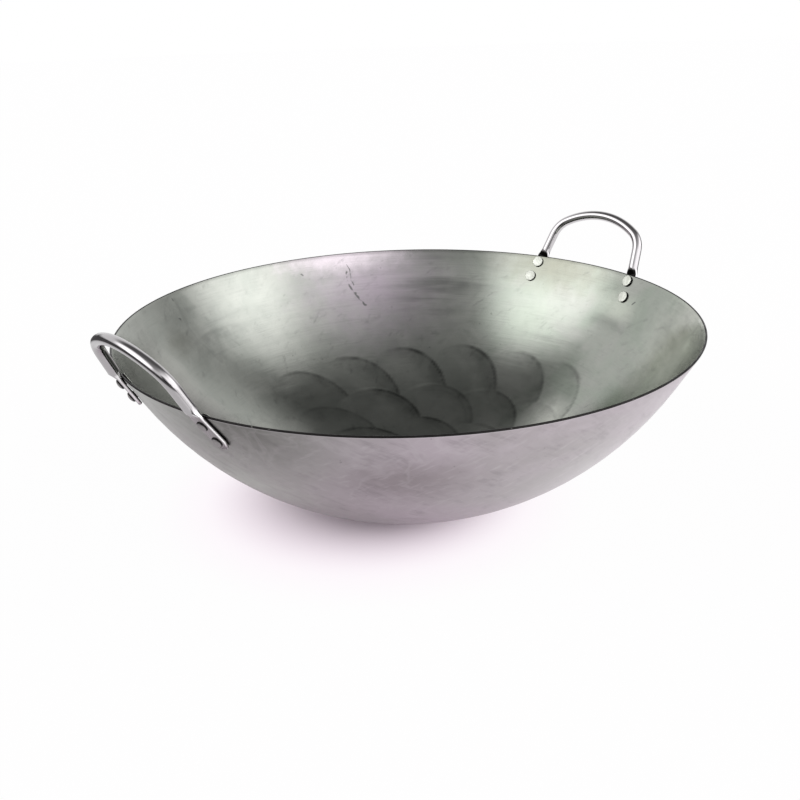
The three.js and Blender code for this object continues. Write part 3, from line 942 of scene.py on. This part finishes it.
def strike_marks(tree, sheet, given):
    """Strikes the marks one after another along a spiral that winds inward."""
    start = tree.nodes.new("GeometryNodeRepeatInput")
    end = tree.nodes.new("GeometryNodeRepeatOutput")
    start.pair_with_output(end)
    for label in ("Angle", "Ring"):
        end.repeat_items.new("FLOAT", label)
    first = {"Geometry": sheet, "Angle": given["First Angle"], "Ring": given["First Ring"],
             "Iterations": given["Mark Count"]}
    for label, value in first.items():
        tree.links.new(value, start.inputs[label])
    angle, ring, turn = start.outputs["Angle"], start.outputs["Ring"], start.outputs["Iteration"]
    struck = strike_mark(tree, start.outputs["Geometry"], angle, ring, turn, given)
    step = calc(tree, "DIVIDE", given["Mark Spacing"], ring)
    fall = times(tree, calc(tree, "DIVIDE", step, math.tau), given["Ring Pitch"])
    inner = most(tree, calc(tree, "SUBTRACT", ring, fall), SMALLEST_RING)
    following = {"Geometry": struck, "Angle": calc(tree, "ADD", angle, step), "Ring": inner}
    for label, value in following.items():
        tree.links.new(value, end.inputs[label])
    return end.outputs["Geometry"]


print("the spiral falls by", round(RING_PITCH / MM, 1), "mm on each turn")

# %% [markdown]
# ## Bowl
#
# Spinning a profile and repeating a mark are both rules, so one geometry tree makes the bowl: it spins the
# sheet, strikes the marks, moves the points by what the marks left there, and gives the inside, the outside
# and the cut edge their steel. Its sizes are named inputs. The result is kept as a plain mesh.

# %% Bowl node tree
CHOSEN_ABOVE = 0.4


def geometry_tree(name, inputs):
    tree = bpy.data.node_groups.new(name, "GeometryNodeTree")
    tree.interface.new_socket("Geometry", in_out="INPUT", socket_type="NodeSocketGeometry")
    for label, kind in inputs.items():
        tree.interface.new_socket(label, in_out="INPUT", socket_type=kind)
    tree.interface.new_socket("Geometry", in_out="OUTPUT", socket_type="NodeSocketGeometry")
    return tree, tree.nodes.new("NodeGroupInput").outputs, tree.nodes.new("NodeGroupOutput")


def bowl_tree():
    sizes = ("Mark Radius", "Mark Spacing", "Mark Depth", "Edge", "Ring Pitch", "First Ring", "First Angle",
             "Lead", "Wander", "Row Step")
    inputs = {label: "NodeSocketFloat" for label in sizes}
    inputs |= {label: "NodeSocketInt" for label in ("Segments", "Mark Count", "Seed")}
    inputs |= {label: "NodeSocketMaterial" for label in ("Outside", "Inside", "Cut Edge")}
    tree, given, out = geometry_tree("spun and hammered bowl", inputs)
    sheet = spin_profile(tree, given["Geometry"], given["Segments"])
    for name in ("dent", "mark_edge", "snapped"):
        sheet = points_attribute(tree, sheet, name, 0.0)
    sheet = strike_marks(tree, sheet, given)
    shift = scaled(tree, read_attribute(tree, "out", "FLOAT_VECTOR"), read_attribute(tree, "dent"))
    sheet = put(tree, "GeometryNodeSetPosition", {"Geometry": sheet, "Offset": shift}).outputs[0]
    sheet = put(tree, "GeometryNodeSetShadeSmooth", {"Geometry": sheet}).outputs[0]
    sheet = put(tree, "GeometryNodeRealizeInstances", {"Geometry": sheet}).outputs[0]
    sockets = {"Geometry": sheet, "Material": given["Outside"]}
    sheet = put(tree, "GeometryNodeSetMaterial", sockets).outputs[0]
    for name, label in (("inside", "Inside"), ("edge", "Cut Edge")):
        chosen = calc(tree, "GREATER_THAN", read_attribute(tree, name), CHOSEN_ABOVE)
        sockets = {"Geometry": sheet, "Selection": chosen, "Material": given[label]}
        sheet = put(tree, "GeometryNodeSetMaterial", sockets).outputs[0]
    tree.links.new(sheet, out.inputs[0])
    return tree


BOWL_TREE = bowl_tree()
print("bowl tree with", len(BOWL_TREE.nodes), "nodes")


# %% From tree to plain mesh
def give_attribute(mesh, name, values, kind="FLOAT"):
    attribute = mesh.attributes.new(name, kind, "POINT")
    field = "vector" if kind == "FLOAT_VECTOR" else "value"
    attribute.data.foreach_set(field, np.array(values, np.float32).ravel())


def new_piece(name, mesh):
    piece = bpy.data.objects.new(name, mesh)
    scene.collection.objects.link(piece)
    return piece


def volume_of(mesh):
    mesh.calc_loop_triangles()
    points = np.empty(len(mesh.vertices) * 3)
    mesh.vertices.foreach_get("co", points)
    corners = np.empty(len(mesh.loop_triangles) * 3, int)
    mesh.loop_triangles.foreach_get("vertices", corners)
    a, b, c = points.reshape(-1, 3)[corners.reshape(-1, 3)].transpose(1, 0, 2)
    return float((a * np.cross(b, c)).sum() / 6)


def face_out(mesh):
    if volume_of(mesh) < 0:
        mesh.flip_normals()
        mesh.update()


def run_tree(piece, tree, values):
    """Runs a node tree on a piece, and keeps the result as the piece's own plain mesh."""
    modifier = piece.modifiers.new(tree.name, "NODES")
    modifier.node_group = tree
    for item in tree.interface.items_tree:
        if item.in_out == "INPUT" and item.name in values:
            modifier[item.identifier] = values[item.name]
    bpy.context.view_layer.update()
    depsgraph = bpy.context.evaluated_depsgraph_get()
    made = bpy.data.meshes.new_from_object(
        piece.evaluated_get(depsgraph), preserve_all_data_layers=True, depsgraph=depsgraph)
    piece.modifiers.clear()
    piece.data = made
    made.name = piece.name
    face_out(made)
    return piece


profile_mesh = bpy.data.meshes.new("bowl_profile")
profile_mesh.from_pydata([(point[0], 0, point[1]) for point, _ in profile_rows], [], [])
give_attribute(profile_mesh, "out", [(out[0], 0, out[1]) for _, out in profile_rows], "FLOAT_VECTOR")
counts = (len(outside_rows), len(rim_rows), len(inside_rows))
give_attribute(profile_mesh, "inside", np.repeat((0, 0, 1), counts))
give_attribute(profile_mesh, "edge", np.repeat((0, 1, 0), counts))
print("profile mesh with", len(profile_mesh.vertices), "points")

# %% Make the bowl
bowl = run_tree(new_piece("hammered_bowl", profile_mesh), BOWL_TREE, {
    "Segments": BOWL_SEGMENTS, "Mark Count": MARK_COUNT, "Mark Radius": MARK_RADIUS,
    "Mark Spacing": MARK_SPACING, "Mark Depth": MARK_DEPTH, "Edge": MARK_EDGE, "Ring Pitch": RING_PITCH,
    "First Ring": FIRST_RING, "First Angle": FIRST_ANGLE, "Lead": MARK_LEAD, "Wander": MARK_WANDER,
    "Row Step": ROW_STEP, "Seed": MARK_SEED, "Outside": OUTSIDE_STEEL, "Inside": INSIDE_STEEL,
    "Cut Edge": EDGE_STEEL,
})
steel_volume = volume_of(bowl.data)
print("bowl:", len(bowl.data.loop_triangles), "triangles,", round(steel_volume * 1e6, 1), "cm3 of steel")

# %% [markdown]
# ## Handles
#
# Each handle is one tube, bent to a loop, with both ends pressed flat where they are riveted to the wall. The
# section changes along the way, from round to a flat strip, so a plain bevelled curve can't give it. The tube
# is lofted ring by ring instead: each ring knows its place, the way out of the wall, and how far it has been
# pressed.

# %% The handle's sizes
TUBE_DIAMETER = 7.5 * MM
STRIP_THICKNESS = 2.6 * MM
STRIP_OFFSET = 1.6 * MM
FOOT_SPREAD = 92 * MM
LEG_LEAN = math.radians(8.9)
LOOP_TILT = math.radians(62.8)
LOOP_HEIGHT = 43.2 * MM
CORNER_RADIUS = 19 * MM
CROWN_RADIUS = 66 * MM
SHOULDER_START = 0.8 * MM
SHOULDER_LENGTH = 5 * MM
UPPER_RIVET_DROP = 5.5 * MM
RIVET_SPACING = 13 * MM
STRIP_END_MARGIN = 6.5 * MM
STRIP_LENGTH = UPPER_RIVET_DROP + RIVET_SPACING + STRIP_END_MARGIN
STRIP_ROUNDING = 3.0 * MM
STRIP_STEPS = 24
CROWDED_SHARE = 0.25
SHOULDER_STEPS = 10
LEG_STEPS = 6
CORNER_STEPS = 22
CROWN_STEPS = 16
TUBE_SIDES = 40


def wall_point(drop, sideways, off):
    """A point at a drop below the rim, sideways of the handle's middle and off the outside of the wall."""
    radius = RIM_RADIUS - drop * math.cos(WALL_SLOPE) + off * math.sin(WALL_SLOPE)
    height = BOWL_HEIGHT - drop * math.sin(WALL_SLOPE) - off * math.cos(WALL_SLOPE)
    return np.array([math.sqrt(radius ** 2 - sideways ** 2), sideways, height])


def wall_out_at(point):
    around = math.atan2(point[1], point[0])
    level = math.sin(WALL_SLOPE)
    return np.array([level * math.cos(around), level * math.sin(around), -math.cos(WALL_SLOPE)])


def leg_sideways(drop):
    return FOOT_SPREAD / 2 + drop * math.tan(LEG_LEAN)


def strip_drop(share):
    """How far below the rim a ring of the strip lies: the rings crowd together at the strip's end."""
    if share < CROWDED_SHARE:
        return STRIP_LENGTH * (1 - math.sqrt(share))
    crowded_drop = 1 - math.sqrt(CROWDED_SHARE)
    return STRIP_LENGTH * (1 - share) * crowded_drop / (1 - CROWDED_SHARE)


print("strip of", round(STRIP_LENGTH / MM, 1), "mm below the rim")


# %% The handle's centre line
def loop_outline():
    """The leg, corner and crown of half a loop in its own plane."""
    foot = np.array([leg_sideways(0), 0])
    leg_way = np.array([-math.sin(LEG_LEAN), math.cos(LEG_LEAN)])
    inward = np.array([-leg_way[1], leg_way[0]])
    crown_middle = np.array([0, LOOP_HEIGHT - CROWN_RADIUS])
    start = foot + inward * CORNER_RADIUS - crown_middle
    along = start @ leg_way
    leg_length = -along + math.sqrt(along ** 2 - start @ start + (CROWN_RADIUS - CORNER_RADIUS) ** 2)
    corner_middle = start + leg_way * leg_length + crown_middle
    from_angle = math.atan2(-inward[1], -inward[0])
    to_angle = math.atan2(corner_middle[1] - crown_middle[1], corner_middle[0])
    return foot, leg_way, leg_length, corner_middle, crown_middle, from_angle, to_angle


def half_handle():
    """Stations from a strip's end to the crown: point, way out, and flatness from 1, strip, to 0, tube."""
    foot, leg_way, leg_length, corner_middle, crown_middle, from_angle, to_angle = loop_outline()
    base = wall_point(0, leg_sideways(0), STRIP_OFFSET)
    loop_out = np.array([math.sin(LOOP_TILT), 0, -math.cos(LOOP_TILT)])
    rise = np.array([math.cos(LOOP_TILT), 0, math.sin(LOOP_TILT)])

    def in_loop(flat):
        return np.array([base[0], 0, base[2]]) + np.array([0, flat[0], 0]) + rise * flat[1]

    stations = []
    for share in np.linspace(0, 1, STRIP_STEPS + 1):
        drop = strip_drop(share)
        point = wall_point(drop, leg_sideways(drop), STRIP_OFFSET)
        stations.append((point, wall_out_at(point), 1.0))
    for share in np.linspace(0, 1, SHOULDER_STEPS + 1):
        out = wall_out_at(base) * (1 - share) + loop_out * share
        point = in_loop(foot + leg_way * (SHOULDER_START + share * SHOULDER_LENGTH))
        stations.append((point, out / np.linalg.norm(out), 1 - share))
    for run in np.linspace(SHOULDER_START + SHOULDER_LENGTH, leg_length, LEG_STEPS + 1)[1:-1]:
        stations.append((in_loop(foot + leg_way * run), loop_out, 0.0))
    for middle, radius, start, end, first, count in (
        (corner_middle, CORNER_RADIUS, from_angle, to_angle, 0, CORNER_STEPS),
        (crown_middle, CROWN_RADIUS, to_angle, math.pi / 2, 1, CROWN_STEPS),
    ):
        for angle in np.linspace(start, end, count + 1)[first:]:
            flat = middle + radius * np.array([math.cos(angle), math.sin(angle)])
            stations.append((in_loop(flat), loop_out, 0.0))
    return stations


half = half_handle()
mirror = np.array([1, -1, 1])
whole = half + [(point * mirror, out * mirror, flatness) for point, out, flatness in half[-2::-1]]
print("handle of", len(whole), "stations")

# %% [markdown]
# ## Steel of the handles
#
# The loop is polished tube: it mirrors the studio in long bright and black lines. Where the press has
# flattened it, the polish is dulled, the sides of the feet carry a painted highlight, and the faces toward
# the wall are painted dark as shade. One material could be painted for each of these places, but their
# borders would be hard. The loft keeps flatness, the painted highlight and the painted shade as attributes
# instead, and one material blends with them.

# %% Handle material
POLISHED = tone(182, 179, 181)
PRESSED = tone(148, 142, 145)
FOOT_SIDE_HIGHLIGHT = tone(238, 235, 237)
FOOT_SHADE = tone(24, 23, 23)
DULL_SPECKS = 0.35
POLISH_ROUGH = 0.09
POLISH_CLOUDS_ROUGH = 0.05
PRESSED_ROUGH = 0.16
HANDLE_RELIEF = (0.15, 0.08 * MM)


def handle_steel():
    material, tree, shader = steel("handle_steel")
    flat = painted(tree, "flatness")
    clouds = use_group(tree, CLOUDING, Size=70.0, Speck_Size=520.0)
    dull = most(tree, flat, times(tree, clouds["Specks"], DULL_SPECKS))
    colour = mix_colours(tree, dull, POLISHED, PRESSED)
    # Painted highlight on the sides of the feet.
    colour = mix_colours(tree, painted(tree, "rubbed"), colour, FOOT_SIDE_HIGHLIGHT)
    # Painted shade on the faces toward the wall.
    colour = mix_colours(tree, painted(tree, "soot"), colour, FOOT_SHADE)
    tree.links.new(colour, shader.inputs["Base Color"])
    rough = calc(tree, "MULTIPLY_ADD", clouds["Clouds"], POLISH_CLOUDS_ROUGH, POLISH_ROUGH)
    rough = calc(tree, "MULTIPLY_ADD", flat, PRESSED_ROUGH, rough)
    tree.links.new(rough, shader.inputs["Roughness"])
    relief(tree, shader, clouds["Clouds"], *HANDLE_RELIEF)
    return material


HANDLE_STEEL = handle_steel()
print("made", HANDLE_STEEL.name)

# %% Rings of the tube
END_WIDTH = 0.45
RING_ANGLES = (np.arange(TUBE_SIDES) + 0.5) * math.tau / TUBE_SIDES - math.pi / 2


def tube_ring(point, out, tangent, flatness, narrowing):
    """One ring of the tube's skin. Pressing keeps the skin's length, so the strip is wider than the tube."""
    thickness = TUBE_DIAMETER + (STRIP_THICKNESS - TUBE_DIAMETER) * flatness
    flat_half = math.pi * (TUBE_DIAMETER - thickness) / 4 * narrowing
    across = np.cross(tangent, out)
    across /= np.linalg.norm(across)
    upright = np.cross(across, tangent)
    radius = thickness / 2
    sideways = np.sign(np.cos(RING_ANGLES)) * flat_half + radius * np.cos(RING_ANGLES)
    return point + np.outer(sideways, across) + np.outer(radius * np.sin(RING_ANGLES), upright)


def tube_rings():
    """The rings of a whole handle, narrower toward the rounded ends of its strips."""
    points = np.array([station[0] for station in whole])
    tangents = np.gradient(points, axis=0)
    tangents /= np.linalg.norm(tangents, axis=1)[:, None]
    runs = np.concatenate([[0], np.cumsum(np.linalg.norm(np.diff(points, axis=0), axis=1))])
    from_end = np.minimum(runs, runs[-1] - runs)
    rounding = np.clip(1 - from_end / STRIP_ROUNDING, 0, 1)
    narrowing = np.sqrt(1 - rounding ** 2) * (1 - END_WIDTH) + END_WIDTH
    return [tube_ring(point, out, tangent, flatness, narrow)
            for (point, out, flatness), tangent, narrow in zip(whole, tangents, narrowing)]


print("rings of", TUBE_SIDES, "points, whose flat part narrows to", END_WIDTH, "at the strips' ends")

# %% Loft the handles
# Each ramp has a slope and an offset: it turns a share round or along the tube into a mask from 0 to 1.
PRESSED_RAMP = (4, -0.4)
FOOT_SHADE_RAMP = (2.5, -0.6)
FOOT_SIDE_HIGHLIGHT_RAMP = (4, -2.4)


def ramp(values, slope, offset):
    return np.clip(values * slope + offset, 0, 1)


def tube_faces(rings):
    """Quads from ring to ring, and a face across each end."""
    faces = []
    for ring in range(rings - 1):
        here, there = ring * TUBE_SIDES, (ring + 1) * TUBE_SIDES
        for side in range(TUBE_SIDES):
            after = (side + 1) % TUBE_SIDES
            faces.append((here + side, here + after, there + after, there + side))
    faces.append(tuple(range(TUBE_SIDES))[::-1])
    faces.append(tuple(range((rings - 1) * TUBE_SIDES, rings * TUBE_SIDES)))
    return faces


def loft_handle(name, around):
    rings = tube_rings()
    faces = tube_faces(len(rings))
    mesh = bpy.data.meshes.new(name)
    mesh.from_pydata(np.concatenate(rings).tolist(), [], faces)
    mesh.transform(Matrix.Rotation(around, 4, "Z"))
    flatness = np.repeat([station[2] for station in whole], TUBE_SIDES)
    pressed = ramp(flatness, *PRESSED_RAMP)
    inner = np.tile(-np.sin(RING_ANGLES), len(whole))
    beside = np.tile(np.abs(np.cos(RING_ANGLES)), len(whole))
    give_attribute(mesh, "flatness", flatness)
    # Painted shade on the pressed faces toward the wall.
    give_attribute(mesh, "soot", ramp(inner, *FOOT_SHADE_RAMP) * pressed)
    # Painted highlight on the pressed sides.
    give_attribute(mesh, "rubbed", ramp(beside, *FOOT_SIDE_HIGHLIGHT_RAMP) * pressed)
    mesh.polygons.foreach_set("use_smooth", [True] * (len(faces) - 2) + [False] * 2)
    mesh.materials.append(HANDLE_STEEL)
    face_out(mesh)
    return new_piece(name, mesh)


handles = {
    "right": loft_handle("right_loop_handle", 0),
    "left": loft_handle("left_loop_handle", math.pi),
}
for side, handle in handles.items():
    print(side, "handle:", len(handle.data.polygons), "faces")

# %% [markdown]
# ## Rivets
#
# Two rivets hold each strip. Inside the bowl they show a flat, bright head whose side is painted dark as
# shade; outside, a small grey dome that was set with a hammer, with its foot painted dark as shade. Eight
# rivets could be modelled one by one, but all are the same shape, so one profile is spun into a rivet and set
# on eight points, each turned along the way out of the wall. The profile's two masks serve again: "inside" is
# the set head, and "edge" the sides and the dome's foot that are painted dark as shade.

# %% Rivet material
RIVET_PALE = tone(226, 228, 220)
RIVET_GREY = tone(212, 214, 206)
RIVET_CAP = tone(157, 153, 154)
RIVET_SIDE_SHADE = tone(34, 33, 33)
RIVET_ROUGH = 0.5
RIVET_CLOUDS_ROUGH = 0.1
RIVET_RELIEF = (0.1, 0.1 * MM)


def rivet_steel():
    material, tree, shader = steel("rivet_steel")
    clouds = use_group(tree, CLOUDING, Size=240.0, Speck_Size=900.0)
    colour = mix_colours(tree, clouds["Clouds"], RIVET_PALE, RIVET_GREY)
    colour = mix_colours(tree, painted(tree, "inside"), colour, RIVET_CAP)
    # Painted shade: the rivets' sides and the foot of the set head are dark.
    colour = mix_colours(tree, painted(tree, "edge"), colour, RIVET_SIDE_SHADE)
    tree.links.new(colour, shader.inputs["Base Color"])
    rough = calc(tree, "MULTIPLY_ADD", clouds["Clouds"], RIVET_CLOUDS_ROUGH, RIVET_ROUGH)
    tree.links.new(rough, shader.inputs["Roughness"])
    relief(tree, shader, clouds["Clouds"], *RIVET_RELIEF)
    return material


RIVET_STEEL = rivet_steel()
print("made", RIVET_STEEL.name)

# %% Rivet profile
SHANK_RADIUS = 2.5 * MM
HEAD_RADIUS = 4.5 * MM
HEAD_TOP = -3.0 * MM
HEAD_BEVEL = 0.5 * MM
SET_HEAD_RADIUS = 3.7 * MM
SET_HEAD_SEAT = 2.9 * MM
SET_HEAD_HEIGHT = 2.0 * MM
SET_HEAD_SHADED = math.radians(24)
BEVEL_STEPS = 4
SET_HEAD_STEPS = 8
RIVET_SEGMENTS = 40


def rivet_profile():
    """The rivet's outline from the flat head to the set head: radius, height, and 1 where it is painted dark
    as shade.
    """
    rows = [(0, HEAD_TOP, 0)]
    for turn in np.linspace(0, math.pi / 2, BEVEL_STEPS + 1):
        radius = HEAD_RADIUS - HEAD_BEVEL + HEAD_BEVEL * math.sin(turn)
        height = HEAD_TOP + HEAD_BEVEL - HEAD_BEVEL * math.cos(turn)
        rows.append((radius, height, float(turn > math.pi / 4)))
    rows.append((HEAD_RADIUS, -SHEET_THICKNESS, 1))
    rows.append((SHANK_RADIUS, -SHEET_THICKNESS, 1))
    rows.append((SHANK_RADIUS, SET_HEAD_SEAT, 1))
    for turn in np.linspace(0, math.pi / 2, SET_HEAD_STEPS + 1)[:-1]:
        radius = SET_HEAD_RADIUS * math.cos(turn)
        height = SET_HEAD_SEAT + SET_HEAD_HEIGHT * math.sin(turn)
        # The foot of the set head is painted dark as shade.
        rows.append((radius, height, float(turn < SET_HEAD_SHADED)))
    return rows + [(0, SET_HEAD_SEAT + SET_HEAD_HEIGHT, 0)]


outline_rows = rivet_profile()
outline_mesh = bpy.data.meshes.new("rivet_profile")
outline_mesh.from_pydata([(radius, 0, height) for radius, height, _ in outline_rows], [], [])
give_attribute(outline_mesh, "out", np.zeros((len(outline_rows), 3)), "FLOAT_VECTOR")
give_attribute(outline_mesh, "inside", [float(height >= SET_HEAD_SEAT) for _, height, _ in outline_rows])
give_attribute(outline_mesh, "edge", [side for _, _, side in outline_rows])
print("rivet profile of", len(outline_rows), "points")


# %% Rivet node tree
def rivet_tree():
    inputs = {"Profile": "NodeSocketObject", "Segments": "NodeSocketInt", "Seed": "NodeSocketInt",
              "Steel": "NodeSocketMaterial"}
    tree, given, out = geometry_tree("set rivets", inputs)
    outline = put(tree, "GeometryNodeObjectInfo", {"Object": given["Profile"]}).outputs["Geometry"]
    rivet = spin_profile(tree, outline, given["Segments"])
    axis = read_attribute(tree, "axis", "FLOAT_VECTOR")
    turn = put(tree, "FunctionNodeAlignRotationToVector", {"Vector": axis}, axis="Z").outputs[0]
    chance = {"Max": math.tau, "Seed": given["Seed"]}
    spin = put(tree, "FunctionNodeRandomValue", chance, data_type="FLOAT").outputs
    own = next(socket for socket in spin if socket.enabled)
    about = put(tree, "FunctionNodeAxisAngleToRotation", {"Axis": (0, 0, 1), "Angle": own}).outputs[0]
    sockets = {"Rotation": turn, "Rotate By": about}
    turn = put(tree, "FunctionNodeRotateRotation", sockets, rotation_space="LOCAL").outputs[0]
    sockets = {"Points": given["Geometry"], "Instance": rivet, "Rotation": turn}
    placed = put(tree, "GeometryNodeInstanceOnPoints", sockets).outputs[0]
    real = put(tree, "GeometryNodeRealizeInstances", {"Geometry": placed}).outputs[0]
    sockets = {"Geometry": real, "Material": given["Steel"]}
    tree.links.new(put(tree, "GeometryNodeSetMaterial", sockets).outputs[0], out.inputs[0])
    return tree


RIVET_TREE = rivet_tree()
print("rivet tree with", len(RIVET_TREE.nodes), "nodes")

# %% Make the rivets
RIVET_SEED = 3
SMOOTH_BELOW = math.radians(40)
seats = []
for around in (0, math.pi):
    turn = np.array(Matrix.Rotation(around, 3, "Z"))
    for sign in (-1, 1):
        for drop in (UPPER_RIVET_DROP, UPPER_RIVET_DROP + RIVET_SPACING):
            point = wall_point(drop, sign * leg_sideways(drop), 0)
            seats.append((turn @ point, turn @ wall_out_at(point)))

seat_mesh = bpy.data.meshes.new("rivet_seats")
seat_mesh.from_pydata([tuple(point) for point, _ in seats], [], [])
give_attribute(seat_mesh, "axis", [out for _, out in seats], "FLOAT_VECTOR")
outline = new_piece("rivet_profile", outline_mesh)
rivets = run_tree(new_piece("rivets", seat_mesh), RIVET_TREE, {
    "Profile": outline, "Segments": RIVET_SEGMENTS, "Seed": RIVET_SEED, "Steel": RIVET_STEEL})
bpy.data.objects.remove(outline)
rivets.data.shade_smooth()
rivets.data.set_sharp_from_angle(angle=SMOOTH_BELOW)
print("rivets:", len(rivets.data.polygons), "faces on", len(seats), "seats")

# %% [markdown]
# ## Put the pieces on the frame
#
# Every piece rides on the frame's one body, and the frame's solids that it stands for are hidden.

# %% Ride and replace
RIVET_NODES = [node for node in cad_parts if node.startswith("rivet_")]
for piece, nodes, slot in (
    (bowl, ["bowl"], "bowl_steel"),
    (handles["right"], ["handle_right"], "handle_steel"),
    (handles["left"], ["handle_left"], "handle_steel"),
    (rivets, RIVET_NODES, "rivet_steel"),
):
    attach(piece, "root")
    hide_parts(*nodes)
